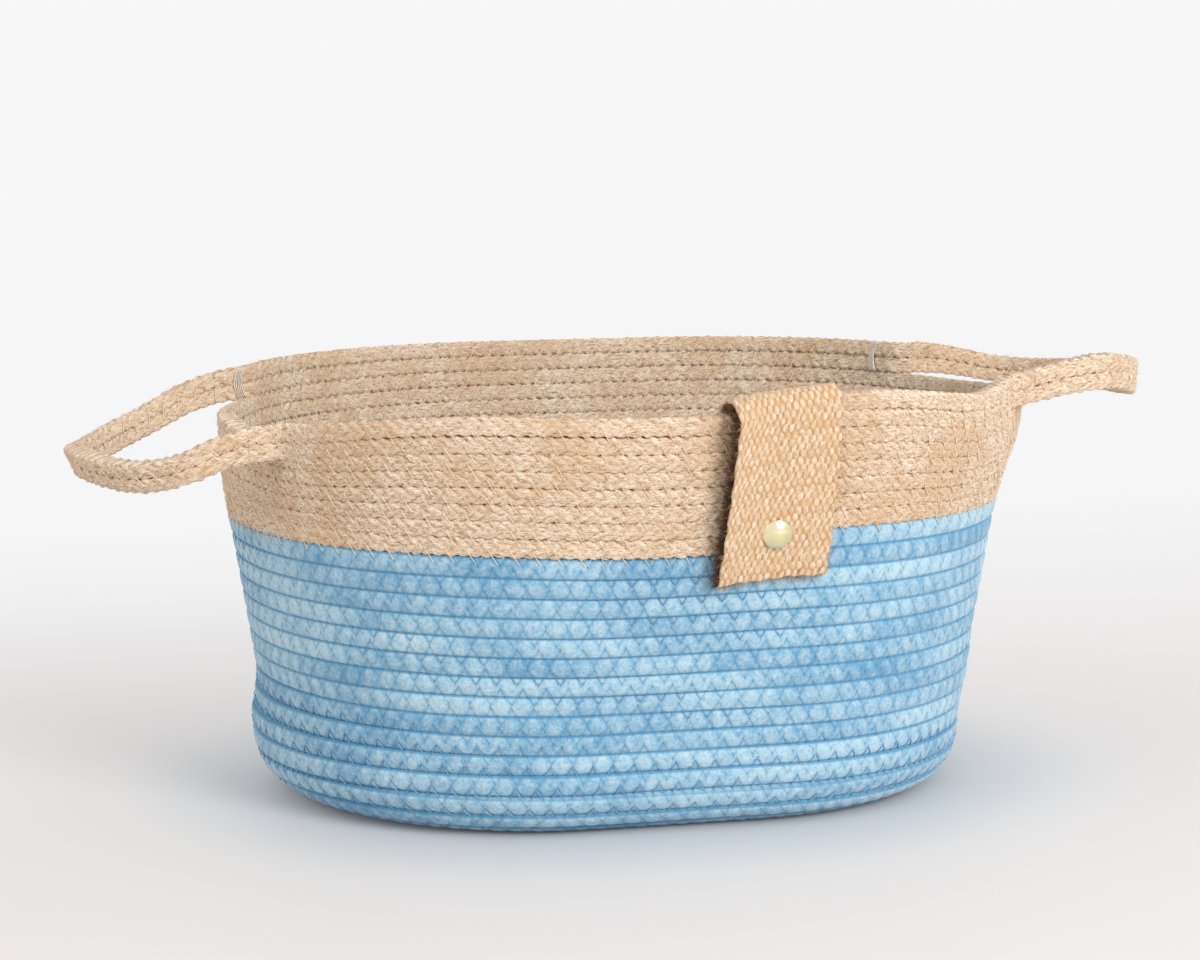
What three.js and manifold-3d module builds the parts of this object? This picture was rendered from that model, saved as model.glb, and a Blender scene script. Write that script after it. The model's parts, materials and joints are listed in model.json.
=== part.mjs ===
// A coiled storage basket with two side handles, in millimetres, +Z up.
// A thick blue rope is wound flat from a straight start in the middle of the base, turns up at the heel and
// climbs as one helix. A thinner jute cord takes over under the tag and climbs eight turns more. Its last
// two turns leave the wall at each end of the basket as a handle strip. A webbing tag is folded over the rim
// at the front and riveted through the wall. The origin is on the floor, under the middle of the straight
// start. +X runs along the handles, and the tag is on the -Y side.
import * as THREE from 'three';
import { mergeVertices } from 'three/addons/utils/BufferGeometryUtils.js';
import Module from 'manifold-3d';

const wasm = await Module();
wasm.setup();

// Driving dimensions of the rope and the cord
const ropeAcross = 6.5;        // blue rope, from one course towards the next
const ropeThrough = 6.6;       // blue rope, through the wall
const cordAcross = 5.3;        // jute cord, from one course towards the next
const cordThrough = 6.0;       // jute cord, through the wall
const courseGap = 0.5;         // clearance between one course and the next
const endGap = 0.5;            // clearance between two ends that meet in one course
const endReach = 10;           // every length ends this far along the front run, past the last half turn
const floorCutShare = 0.1;     // depth of the flat under the base, as a share of the rope's diameter

// Driving dimensions of the basket
const startHalf = 31;          // half of the straight run that the base is wound round
const baseTurns = 10;          // turns of rope in the flat base
const wallTurns = 16;          // turns of rope in the heel and the wall
const juteTurns = 6;           // turns of cord in the wall, below the handles
const flatReach = 72;          // the base stays flat out to this distance from the straight start
const heelRadius = 20;         // radius of the heel, at the middle of the rope
const wallLean = THREE.MathUtils.degToRad(9.6);

// Driving dimensions of the handles, measured from the middle of the basket
const handleReach = 197;       // out to the middle of the strip at its tip
const handleHalfWidth = 58.5;  // to the middle of the strip where it crosses the hinge line
const rootBend = 8;            // radius of the bend where the strip leaves the wall
const stubRun = 6;             // straight run of the strip between its bend and its hinge end
const leftTilt = THREE.MathUtils.degToRad(-24.5);  // how the handles hang at rest
const rightTilt = THREE.MathUtils.degToRad(-5);
const leftCurl = 3.3;          // rise of the tip out of the tilted plane
const rightCurl = 1.5;
const hingeClearance = 0.3;    // between a moving end and the stub that it turns against

// Driving dimensions of the tag and its rivet
const tagInset = 2.5;          // middle of the tag, in from the right end of the front run
const tagWidth = 39;
const tagThickness = 2.2;
const tagDrop = 66;            // from the top of the fold to the lower edge
const tagClearance = 0.35;     // between the webbing and the rope that it lies on
const tagLift = 0.6;           // air between the fold and the highest course
const rivetDiameter = 10;
const rivetDome = 2.1;
const rivetRim = 0.7;          // thickness of the cap at its edge
const postDiameter = 3;
const postTip = 0.9;           // length of the post inside the cap
const backCapDiameter = 9;
const backCapThickness = 1.2;
const backCapBevel = 0.4;
const seatClearance = 0.3;     // between the rivet and what it is set in

// How finely the windings are drawn
const arcSteps = 10;           // steps in each half turn, next to its straight run
const innerArcSteps = 5;
const innerTurns = 3;          // turns at the middle of the base that have fewer steps
const handleSteps = 14;
const bendSteps = 3;
const hingeEndDegrees = [80, 60, 30];  // directions of the points round a handle's hinge end
const foldSteps = 8;
const roundSides = 32;

const tagX = startHalf - tagInset;
const ropePitch = ropeAcross + courseGap;
const cordPitch = cordAcross + courseGap;
const changePitch = (ropeAcross + cordAcross) / 2 + courseGap;
const floorCut = floorCutShare * ropeAcross;
const baseHeight = ropeAcross / 2 - floorCut;
const ropeStart = ropePitch / 4;
const juteStart = ropeStart + (baseTurns + wallTurns) * ropePitch;
const FRONT = -Math.PI / 2;    // facing of the front run
const LEFT_TURN = 0.25;        // share of a turn from the front run to the middle of the left end
const RIGHT_TURN = 0.75;
const SMALL = 1e-6;
const MERGE_DISTANCE = 1e-4;

// The section through the wall, as a line that starts at the straight run: flat, round the heel, then up.
function sectionLine(along) {
  const steep = Math.PI / 2 - wallLean;
  const arc = THREE.MathUtils.clamp(along - flatReach, 0, heelRadius * steep);
  const rise = Math.max(0, along - flatReach - heelRadius * steep);
  const slope = arc / heelRadius;
  return {
    out: Math.min(along, flatReach) + heelRadius * Math.sin(slope) + rise * Math.cos(slope),
    up: baseHeight + heelRadius * (1 - Math.cos(slope)) + rise * Math.sin(slope),
    slope,
  };
}

// Distance along the section line after a number of turns of rope or of cord
const ropeAlong = (turns) => ropeStart + ropePitch * turns;
function cordAlong(turns) {
  return juteStart + changePitch * Math.min(turns, 1) + cordPitch * Math.max(0, turns - 1);
}

// A point of the oval that lies a given distance outside the straight start, with its outward direction.
// A turn begins at the front, at the right end of the straight run, and goes clockwise seen from above.
function ovalPoint(facing, out, endX) {
  const outward = new THREE.Vector3(Math.cos(facing), Math.sin(facing), 0);
  return { outward, place: outward.clone().multiplyScalar(out).add(new THREE.Vector3(endX, 0, 0)) };
}

// The stations of a winding, each with its facing, the end of the straight run that it turns round, and its
// count of turns. The straight runs are level, and the half turns climb.
function windingSpots(fromTurn, toTurn, stepsAt) {
  const spots = [{ facing: FRONT, endX: startHalf, turns: fromTurn }];
  for (let half = 2 * fromTurn; half < 2 * toTurn; half++) {
    const steps = stepsAt(half / 2);
    const onLeft = half % 2 === 0;
    for (let step = 0; step <= steps; step++) {
      const facing = FRONT - Math.PI * (half % 2) - Math.PI * step / steps;
      spots.push({ facing, endX: onLeft ? -startHalf : startHalf, turns: (half + step / steps) / 2 });
    }
  }
  return spots;
}

// Place of a station, with the directions towards the next course and out through the wall
function stationAt(spot, along) {
  const line = sectionLine(along);
  const { outward, place } = ovalPoint(spot.facing, line.out, spot.endX);
  place.z = line.up;
  const across = outward.clone().multiplyScalar(Math.cos(line.slope)).setZ(Math.sin(line.slope));
  const through = outward.clone().multiplyScalar(Math.sin(line.slope)).setZ(-Math.cos(line.slope));
  return { place, across, through };
}

const movedX = (station, x) => ({ ...station, place: station.place.clone().setX(x) });

// Both ends of a winding lie on the straight run at the front: it starts a little way in, and its end runs on
// straight on, so that the next length meets it face to face.
const runOnX = startHalf - endReach;
const laterStartX = runOnX - endGap;
const startedAt = (stations, x) => [movedX(stations[0], x), ...stations.slice(1)];
const runOn = (stations) => [...stations, movedX(stations[stations.length - 1], runOnX)];

// Six-sided ring of a rope or cord: corners towards its neighbours, flats in and out
const RING = [[0.5, 0], [0.25, 0.5], [-0.25, 0.5], [-0.5, 0], [-0.25, -0.5], [0.25, -0.5]];
function ring({ place, across, through }, acrossSize, throughSize) {
  return RING.map(([a, t]) => (
    place.clone().addScaledVector(across, a * acrossSize).addScaledVector(through, t * throughSize)));
}

// The rope is cut flat where it lies on the floor
const onFloor = (points) => points.map((point) => point.setZ(Math.max(0, point.z)));
const ropeRings = (stations) => stations.map((station) => onFloor(ring(station, ropeAcross, ropeThrough)));
const cordRings = (stations) => stations.map((station) => ring(station, cordAcross, cordThrough));

function signedVolume(positions, faces) {
  const corner = (index) => new THREE.Vector3().fromArray(positions, index * 3);
  let volume = 0;
  for (let face = 0; face < faces.length; face += 3) {
    volume += corner(faces[face]).dot(corner(faces[face + 1]).cross(corner(faces[face + 2])));
  }
  return volume / 6;
}

// Joins rings of the same count of points into one closed body with its faces outwards
function closedBody(rings) {
  const count = rings[0].length;
  const positions = rings.flat().flatMap((point) => point.toArray());
  const faces = [];
  for (let level = 0; level + 1 < rings.length; level++) {
    for (let side = 0; side < count; side++) {
      const a = level * count + side;
      const b = level * count + (side + 1) % count;
      faces.push(a, b, b + count, a, b + count, a + count);
    }
  }
  const last = (rings.length - 1) * count;
  for (const [p, q, r] of THREE.ShapeUtils.triangulateShape(capOutline(rings[0]), [])) {
    faces.push(r, q, p, last + p, last + q, last + r);
  }
  if (signedVolume(positions, faces) < 0) faces.reverse();
  const geometry = new THREE.BufferGeometry();
  geometry.setAttribute('position', new THREE.Float32BufferAttribute(positions, 3));
  geometry.setIndex(faces);
  return geometry;
}

// A ring drawn flat, in its own plane, for filling it with triangles
function capOutline(points) {
  const middle = new THREE.Vector3();
  points.forEach((point) => middle.addScaledVector(point, 1 / points.length));
  const normal = new THREE.Vector3();
  points.forEach((point, index) => {
    const next = points[(index + 1) % points.length];
    normal.add(point.clone().sub(middle).cross(next.clone().sub(middle)));
  });
  const u = points[0].clone().sub(middle).normalize();
  const v = normal.normalize().clone().cross(u);
  return points.map((point) => {
    const fromMiddle = point.clone().sub(middle);
    return new THREE.Vector2(fromMiddle.dot(u), fromMiddle.dot(v));
  });
}

// The least gap of a winding to itself, between points on neighbouring turns. Each step is measured at
// several parts, and the points of a ring are compared with those that come most of a turn later and on.
function leastGap(rings, stepsInTurn) {
  const parts = 4;
  const mostOfTurn = 0.7;
  const rows = [];
  for (let level = 0; level + 1 < rings.length; level++) {
    for (let part = 0; part < parts; part++) {
      const next = rings[level + 1];
      const here = rings[level].map((point, side) => point.clone().lerp(next[side], part / parts));
      const halfway = here.map((point, side) => point.clone().lerp(here[(side + 1) % here.length], 0.5));
      rows.push([...here, ...halfway]);
    }
  }
  let least = Infinity;
  rows.forEach((row, index) => {
    const near = Math.round(index + stepsInTurn * parts * mostOfTurn);
    for (const other of rows.slice(near, near + stepsInTurn * parts)) {
      for (const a of row) for (const b of other) least = Math.min(least, a.distanceToSquared(b));
    }
  });
  return Math.sqrt(least);
}

function solidOf(geometry) {
  const bare = geometry.clone();
  bare.deleteAttribute('normal');
  bare.deleteAttribute('uv');
  const merged = mergeVertices(bare, MERGE_DISTANCE);
  return new wasm.Manifold(new wasm.Mesh({
    numProp: 3,
    vertProperties: new Float32Array(merged.attributes.position.array),
    triVerts: new Uint32Array(merged.index.array),
  }));
}

function geometryOf(solid) {
  const mesh = solid.getMesh();
  const geometry = new THREE.BufferGeometry();
  geometry.setAttribute('position', new THREE.Float32BufferAttribute(mesh.vertProperties, 3));
  geometry.setIndex([...mesh.triVerts]);
  return geometry;
}

const cut = (geometry, tool) => geometryOf(solidOf(geometry).subtract(solidOf(tool)));

// The windings in the base and the wall
const ropeSteps = (turn) => (turn < innerTurns ? innerArcSteps : arcSteps);
const cordSteps = () => arcSteps;
function ropeStations(from, to) {
  return windingSpots(from, to, ropeSteps).map((spot) => stationAt(spot, ropeAlong(spot.turns)));
}
function cordStations(from, to) {
  return windingSpots(from, to, cordSteps).map((spot) => stationAt(spot, cordAlong(spot.turns)));
}

const baseRings = ropeRings(runOn(ropeStations(0, baseTurns)));
const wallRings = ropeRings(runOn(startedAt(ropeStations(baseTurns, baseTurns + wallTurns), laterStartX)));
const juteRings = cordRings(runOn(startedAt(cordStations(0, juteTurns), laterStartX)));

// The rim strip is the last two courses, one on the other. Each leaves the wall at four roots.
const stripHalf = (cordPitch + cordAcross) / 2;
const sides = {
  left: { sign: -1, turn: LEFT_TURN, tilt: leftTilt, curl: leftCurl },
  right: { sign: 1, turn: RIGHT_TURN, tilt: rightTilt, curl: rightCurl },
};
const cordLevels = { lower: juteTurns, upper: juteTurns + 1 };
const bendEndX = (out) => startHalf + Math.sqrt((out + rootBend) ** 2 - (handleHalfWidth + rootBend) ** 2);
const hingeX = bendEndX(sectionLine(cordAlong(juteTurns + 2)).out) + stubRun + hingeClearance + stripHalf;
const stubEndX = hingeX - stripHalf - hingeClearance;
const heightAt = (turns) => sectionLine(cordAlong(turns)).up;
for (const side of Object.values(sides)) {
  side.hingeZ = (heightAt(cordLevels.lower + side.turn) + heightAt(cordLevels.upper + side.turn)) / 2;
}

// From the wall to the hinge end of a stub: the bend, then the straight run, while the lean dies out. The
// facing is the direction of the root, and the stations are listed outwards.
function stubStations(side, sy, level) {
  const sx = side.sign;
  const root = stubRoot(side, sy, level);
  const line = sectionLine(cordAlong(root.turns));
  const middle = new THREE.Vector2(startHalf + (line.out + rootBend) * Math.cos(root.spread),
    (line.out + rootBend) * Math.sin(root.spread));
  const stations = [];
  for (let step = 0; step <= bendSteps; step++) {
    const share = step / bendSteps;
    const heading = root.spread + (Math.PI / 2 - root.spread) * share;
    const outward = new THREE.Vector3(sx * Math.cos(heading), sy * Math.sin(heading), 0);
    const slope = THREE.MathUtils.lerp(line.slope, Math.PI / 2, share);
    stations.push({
      place: new THREE.Vector3(sx * (middle.x - rootBend * Math.cos(heading)),
        sy * (middle.y - rootBend * Math.sin(heading)), line.up),
      across: outward.clone().multiplyScalar(Math.cos(slope)).setZ(Math.sin(slope)),
      through: outward.clone().multiplyScalar(Math.sin(slope)).setZ(-Math.cos(slope)),
    });
  }
  const last = stations[stations.length - 1];
  const endZ = side.hingeZ + (level === 'upper' ? 1 : -1) * cordPitch / 2;
  stations.push({ ...last, place: new THREE.Vector3(sx * stubEndX, sy * handleHalfWidth, endZ) });
  return stations;
}

// Where a course leaves the wall: its angle from the long axis and its count of turns there
function stubRoot(side, sy, level) {
  const quarter = cordLevels[level] + side.turn;
  const out = sectionLine(cordAlong(quarter)).out;
  const spread = Math.asin((handleHalfWidth + rootBend) / (out + rootBend));
  const towards = side.sign * sy > 0 ? -1 : 1;
  return { spread, turns: quarter + towards * spread / (2 * Math.PI) };
}

// The stretch of a course that lies on the wall between two places, the stubs left out
function rimStations(level, fromTurns, toTurns) {
  const turn = cordLevels[level];
  return windingSpots(turn, turn + 1, cordSteps)
    .filter((spot) => spot.turns > turn + fromTurns + SMALL && spot.turns < turn + toTurns - SMALL)
    .map((spot) => stationAt(spot, cordAlong(spot.turns)));
}

const tagStart = (level) => movedX(cordStations(cordLevels[level], cordLevels[level] + 1)[0], laterStartX);
const leftOf = (level) => movedX(tagStart(level), -startHalf);
const tagEnd = (level) => cordStations(cordLevels[level], cordLevels[level] + 1).slice(-1)[0];
const rootTurns = (side, sy, level) => stubRoot(side, sy, level).turns - cordLevels[level];
const rimPieces = {
  rim_front_left: (level) => [tagStart(level), leftOf(level),
    ...rimStations(level, 0, rootTurns(sides.left, -1, level)), ...stubStations(sides.left, -1, level)],
  rim_back: (level) => [...stubStations(sides.left, 1, level).reverse(),
    ...rimStations(level, rootTurns(sides.left, 1, level), rootTurns(sides.right, 1, level)),
    ...stubStations(sides.right, 1, level)],
  rim_front_right: (level) => [...stubStations(sides.right, -1, level).reverse(),
    ...rimStations(level, rootTurns(sides.right, -1, level), 1),
    tagEnd(level), movedX(tagEnd(level), runOnX)],
};

// A handle's course runs from the back hinge end out to the tip and back to the front one. It is drawn
// level, and then hung at its tilt about the hinge line. Each end is rounded about that line in side view.
function handleRings(side, level) {
  const up = level === 'upper' ? 1 : -1;
  const loopReach = handleReach - hingeX - stubRun;
  const rings = [];
  const pushRing = (x, y, z, facing, acrossSize) => rings.push(ring({
    place: new THREE.Vector3(x, y, z),
    across: new THREE.Vector3(0, 0, 1),
    through: new THREE.Vector3(Math.cos(facing), Math.sin(facing), 0),
  }, acrossSize, cordThrough));
  const endRings = (sy, degreesInOrder) => degreesInOrder.forEach((degrees) => {
    const turned = THREE.MathUtils.degToRad(degrees);
    const high = stripHalf * Math.cos(turned);
    pushRing(-stripHalf * Math.sin(turned), sy * handleHalfWidth, up * (high + courseGap / 2) / 2,
      sy * Math.PI / 2, high - courseGap / 2);
  });
  endRings(1, hingeEndDegrees);
  pushRing(0, handleHalfWidth, up * cordPitch / 2, Math.PI / 2, cordAcross);
  for (let step = 0; step <= handleSteps; step++) {
    const turned = Math.PI / 2 - Math.PI * step / handleSteps;
    const x = stubRun + loopReach * Math.cos(turned);
    const facing = Math.atan2(Math.sin(turned) / handleHalfWidth, Math.cos(turned) / loopReach);
    const curl = side.curl * Math.cos(turned) ** 2;
    pushRing(x, handleHalfWidth * Math.sin(turned), up * cordPitch / 2 + curl, facing, cordAcross);
  }
  pushRing(0, -handleHalfWidth, up * cordPitch / 2, -Math.PI / 2, cordAcross);
  endRings(-1, [...hingeEndDegrees].reverse());
  const hang = new THREE.Matrix4().makeRotationY(-side.tilt);
  const mirror = new THREE.Matrix4().makeScale(side.sign, 1, 1);
  const seat = new THREE.Matrix4().makeTranslation(side.sign * hingeX, 0, side.hingeZ);
  const placed = seat.multiply(mirror).multiply(hang);
  return rings.map((points) => points.map((point) => point.applyMatrix4(placed)));
}

// The tag is an inverted U across the wall, carried along the rim past the end of the straight run
const tagMiddle = ropeThrough / 2 + tagClearance + tagThickness / 2;
const tagFoldAlong = cordAlong(juteTurns + 2) + cordAcross / 2 + tagLift - (tagMiddle - tagThickness / 2);
const tagFootAlong = tagFoldAlong + tagMiddle + tagThickness / 2 - tagDrop;
function tagOutline() {
  const outline = [];
  for (const [radius, turnSign] of [[tagMiddle + tagThickness / 2, 1], [tagMiddle - tagThickness / 2, -1]]) {
    outline.push([tagFootAlong, turnSign * radius]);
    for (let step = 0; step <= foldSteps; step++) {
      const turned = Math.PI * step / foldSteps;
      outline.push([tagFoldAlong + radius * Math.sin(turned), turnSign * radius * Math.cos(turned)]);
    }
    outline.push([tagFootAlong, -turnSign * radius]);
  }
  return outline;
}

// The tag is flat along the front run, and past its end it lies along the first step of the half turn
function tagRings() {
  const middleOut = sectionLine((tagFootAlong + tagFoldAlong) / 2).out;
  const stepLength = 2 * middleOut * Math.sin(Math.PI / arcSteps / 2);
  const edge = (facing, endX) => tagOutline().map(([along, away]) => {
    const { place, through } = stationAt({ facing, endX }, along);
    return place.addScaledVector(through, away);
  });
  const bend = edge(FRONT, startHalf);
  const stepEnd = edge(FRONT + Math.PI / arcSteps, startHalf);
  const pastRun = (tagX + tagWidth / 2 - startHalf) / stepLength;
  const rightEdge = bend.map((point, index) => point.clone().lerp(stepEnd[index], pastRun));
  return [edge(FRONT, tagX - tagWidth / 2), bend, rightEdge];
}

// The rivet goes through the groove between the rope's last course and the cord above it
const rivetAlong = juteStart + (ropeAcross + courseGap) / 2;
const rivetSeat = stationAt({ facing: FRONT, endX: tagX }, rivetAlong);
const rivetTurn = new THREE.Quaternion().setFromUnitVectors(new THREE.Vector3(0, 1, 0), rivetSeat.through);
const capSeat = tagMiddle + tagThickness / 2 + seatClearance;
function aboutRivet(geometry) {
  const { x, y, z } = rivetSeat.place;
  return geometry.applyQuaternion(rivetTurn).translate(x, y, z);
}

// A body turned round the rivet's line from a closed profile of [radius, distance out from the wall's middle]
function turned(profile) {
  const points = profile.map(([radius, away]) => new THREE.Vector2(radius, away));
  return aboutRivet(new THREE.LatheGeometry(points, roundSides));
}

const boreRadius = postDiameter / 2 + seatClearance;
const domeRadius = ((rivetDiameter / 2) ** 2 + (rivetDome - rivetRim) ** 2) / (2 * (rivetDome - rivetRim));
const domeProfile = [];
for (let step = 0; step <= foldSteps; step++) {
  const radius = rivetDiameter / 2 * (1 - step / foldSteps);
  const drop = domeRadius - Math.sqrt(domeRadius ** 2 - radius ** 2);
  domeProfile.push([radius, capSeat + rivetDome - drop]);
}
const recess = capSeat + postTip + seatClearance;
const rivetCap = turned([[0, recess], [boreRadius, recess], [boreRadius, capSeat],
  [rivetDiameter / 2, capSeat], ...domeProfile]);
const postRadius = postDiameter / 2;
const backRadius = backCapDiameter / 2;
const backFace = -capSeat - backCapThickness;
const rivetPost = turned([[0, backFace], [backRadius - backCapBevel, backFace],
  [backRadius, -capSeat - backCapThickness / 2], [backRadius, -capSeat], [postRadius, -capSeat],
  [postRadius, capSeat + postTip], [0, capSeat + postTip]]);
const bore = turned([[0, -capSeat - tagThickness], [boreRadius, -capSeat - tagThickness],
  [boreRadius, capSeat + tagThickness], [0, capSeat + tagThickness]]);

// Finishes
function finish(color, roughness, metalness = 0) {
  return new THREE.MeshStandardMaterial({ color, roughness, metalness });
}
const blueRope = finish(0x5d9bcb, 0.9);
const juteCord = finish(0xc9a377, 0.9);
const webbing = finish(0xd0a568, 0.95);
const brass = finish(0xd8c48a, 0.3, 1);

// The winding is drawn about the middle of its oval, and its straight start lies a quarter of a pitch
// nearer the front, so the whole is moved back by that much to bring the start over the origin.
const basket = new THREE.Group();
basket.position.y = ropeStart;
function add(name, geometry, material, parent = basket) {
  const mesh = new THREE.Mesh(geometry, material);
  mesh.name = name;
  parent.add(mesh);
}

add('base_coil', closedBody(baseRings), blueRope);
add('wall_coil', cut(closedBody(wallRings), bore), blueRope);
add('band_coil', cut(closedBody(juteRings), bore), juteCord);
for (const level of Object.keys(cordLevels)) {
  for (const [name, stations] of Object.entries(rimPieces)) {
    add(`${name}_${level}`, closedBody(cordRings(stations(level))), juteCord);
  }
}
for (const [name, side] of Object.entries(sides)) {
  const handle = new THREE.Group();
  basket.add(handle);
  for (const level of Object.keys(cordLevels)) {
    add(`handle_${name}_${level}`, closedBody(handleRings(side, level)), juteCord, handle);
  }
}
add('tag_strap', cut(closedBody(tagRings()), bore), webbing);
add('rivet_cap', rivetCap, brass);
add('rivet_post', rivetPost, brass);

const report = { base: [baseRings, 2 * innerArcSteps + 2], wall: [wallRings, 2 * arcSteps + 2],
                 band: [juteRings, 2 * arcSteps + 2] };
for (const [name, [rings, stepsInTurn]] of Object.entries(report)) {
  console.log(`${name} coil: least gap to itself ${leastGap(rings, stepsInTurn).toFixed(2)} mm`);
}
for (const [name, side] of Object.entries(sides)) {
  const x = side.sign * hingeX;
  console.log(`${name} handle turns about y through x ${x.toFixed(3)}, z ${side.hingeZ.toFixed(3)} mm`);
}

export default basket;
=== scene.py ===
# %% [markdown]
# # A coiled rope basket
# This lesson dresses a storage basket that is wound from rope and sewn. The new pieces stand for the nodes of
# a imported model, the frame, or are sewn to them. Lengths are in metres, +Z is up, the long axis is X and the
# tag is on the -Y side.

# %% Load the frame
import json
import math

import bmesh
import bpy
import numpy as np
from mathutils import Matrix, Vector


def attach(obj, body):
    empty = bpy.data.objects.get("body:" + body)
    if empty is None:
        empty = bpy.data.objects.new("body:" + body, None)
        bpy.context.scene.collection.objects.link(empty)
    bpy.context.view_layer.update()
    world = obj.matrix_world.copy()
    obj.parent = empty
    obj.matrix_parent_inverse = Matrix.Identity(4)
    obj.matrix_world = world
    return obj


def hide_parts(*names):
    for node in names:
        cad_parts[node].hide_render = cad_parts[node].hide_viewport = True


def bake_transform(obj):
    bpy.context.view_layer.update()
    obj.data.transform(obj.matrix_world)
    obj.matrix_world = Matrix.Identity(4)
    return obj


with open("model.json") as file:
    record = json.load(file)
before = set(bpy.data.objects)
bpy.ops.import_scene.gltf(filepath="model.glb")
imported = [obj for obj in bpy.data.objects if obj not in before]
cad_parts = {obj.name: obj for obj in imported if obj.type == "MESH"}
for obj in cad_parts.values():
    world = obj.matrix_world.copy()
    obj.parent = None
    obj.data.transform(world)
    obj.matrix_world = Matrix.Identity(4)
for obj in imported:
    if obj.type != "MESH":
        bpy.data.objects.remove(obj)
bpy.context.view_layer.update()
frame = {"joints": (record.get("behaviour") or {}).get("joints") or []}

# %% [markdown]
# ## The camera
# The camera comes first, because all else is judged through it. Its place was worked out from the rim, the
# border between rope and cord, the grooves and the silhouette in a picture 1200 pixels wide. It stands 1.1 m
# in front of the basket and a little above it, so it looks over the near rim to the inside of the far wall.

# %% Camera
MM = 0.001
IMAGE_WIDTH, SENSOR, FOCAL_PIXELS = 1200, 36.0, 3061.1
CAMERA_DISTANCE, CAMERA_HEIGHT = 1100 * MM, 263.66 * MM
YAW, PITCH, ROLL, AZIMUTH = -0.0047, 0.1407, -0.0033, 0.2334

turn_back = Matrix.Rotation(-AZIMUTH, 4, "Z")
stand = Matrix.Translation((0, -CAMERA_DISTANCE, CAMERA_HEIGHT))
heading = Matrix.Rotation(-YAW, 4, "Z") @ Matrix.Rotation(math.pi / 2 - PITCH, 4, "X")


def new_object(name, data):
    made = bpy.data.objects.new(name, data)
    bpy.context.scene.collection.objects.link(made)
    return made


camera = new_object("camera", bpy.data.cameras.new("camera"))
camera.data.sensor_width = SENSOR
camera.data.lens = FOCAL_PIXELS / IMAGE_WIDTH * SENSOR
camera.matrix_world = turn_back @ stand @ heading @ Matrix.Rotation(ROLL, 4, "Z")
bpy.context.scene.camera = camera
print("lens", round(camera.data.lens, 1), "mm")

# %% [markdown]
# ## Sizes
# These are the driving sizes of the construction. A course is one pass of the rope round the basket, and a
# pitch is the distance from one course to the next.

# %% Sizes of the winding
ROPE_ACROSS, ROPE_THROUGH = 6.5 * MM, 6.6 * MM
CORD_ACROSS, CORD_THROUGH = 5.3 * MM, 6.0 * MM
COURSE_GAP = 0.5 * MM
START_HALF = 31 * MM
BASE_TURNS, WALL_TURNS, JUTE_TURNS = 10, 16, 6
FLAT_REACH, HEEL_RADIUS, WALL_LEAN = 72 * MM, 20 * MM, math.radians(9.6)
ROPE_PITCH = ROPE_ACROSS + COURSE_GAP
CORD_PITCH = CORD_ACROSS + COURSE_GAP
CHANGE_PITCH = (ROPE_ACROSS + CORD_ACROSS) / 2 + COURSE_GAP
PRESSED_FLAT = 0.1
BASE_HEIGHT = ROPE_ACROSS / 2 - PRESSED_FLAT * ROPE_ACROSS
ROPE_START = ROPE_PITCH / 4
ROPE_TURNS = BASE_TURNS + WALL_TURNS
JUTE_START = ROPE_START + ROPE_TURNS * ROPE_PITCH
FRONT = -math.pi / 2
RUN_ON_X, LATER_START_X = START_HALF - 10 * MM, START_HALF - 10.5 * MM

# %% [markdown]
# ## The path of the winding
# The rope starts as a straight run in the middle of the base and goes round it, so each turn is an oval: a
# front run, the left end, a back run and the right end. Those four legs are counted by one number, and any
# place comes from it by formula. The winding lies on a section line that runs flat, bends up at the heel and
# leans out as the wall. A soft wall never keeps its shape, so its heel settles outwards, a few broad swells
# push it out or in, and the rim droops in places.

# %% The section line and the oval
UP = np.array([0, 0, 1.0])
# Each swell, in mm: how far out, its middle in plan and spread, its middle along the section and spread
SWELLS = MM * np.array([
    (5.2, -135, 0, 75, 104, 13),
    (5.2, 150, 8, 75, 212, 16),
    (-5.6, -152, 0, 56, 234, 26),
    (1.5, 140, 0, 60, 120, 14),
    (6.2, -10, -106, 38, 208, 52),
])
SETTLE, SETTLE_FRONT, SETTLE_LEFT = 3.2 * MM, 3.0 * MM, 1.0 * MM
SETTLE_ALONG, SETTLE_SPREAD = 84 * MM, 15 * MM
# Each droop of the rim or of a handle strand, in mm: how far down, its middle in plan and its two spreads
DROOPS = MM * np.array([
    (9.2, -155, -66, 62, 38),
    (4.5, -165, 55, 30, 38),
    (-6.6, 166, -45, 26, 50),
    (5.0, 110, -82, 30, 42),
    (4.0, 172, 50, 25, 38),
    (2.5, -190, 30, 15, 25),
    (1.2, -172, -50, 28, 26),
    (1.4, 196, -10, 12, 40),
])
DROOP_FROM, DROOP_TO = 182 * MM, 226 * MM


def section_line(along):
    """How far out and how high the section is, and its slope."""
    steep = math.pi / 2 - WALL_LEAN
    arc = np.clip(along - FLAT_REACH, 0, HEEL_RADIUS * steep)
    rise = np.maximum(0, along - FLAT_REACH - HEEL_RADIUS * steep)
    slope = arc / HEEL_RADIUS
    out = np.minimum(along, FLAT_REACH) + HEEL_RADIUS * np.sin(slope) + rise * np.cos(slope)
    height = BASE_HEIGHT + HEEL_RADIUS * (1 - np.cos(slope)) + rise * np.sin(slope)
    return out, height, slope


def oval(legs):
    """The way that a leg count faces, its place on the straight run, and its turns."""
    turn, leg = np.divmod(np.asarray(legs, float), 4)
    left, right_end = np.clip(leg - 1, 0, 1), np.clip(leg - 3, 0, 1)
    facing = FRONT - np.pi * (left + right_end)
    run_end = START_HALF * (1 - 2 * np.clip(leg, 0, 1) + 2 * np.clip(leg - 2, 0, 1))
    return facing, run_end, turn + (left + right_end) / 2


def swell(place, along):
    total = np.zeros(len(place))
    for amount, x, y, spread, middle_along, spread_along in SWELLS:
        away = ((place[:, 0] - x) ** 2 + (place[:, 1] - y) ** 2) / spread ** 2
        total = total + amount * np.exp(-away - ((along - middle_along) / spread_along) ** 2)
    return total


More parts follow.
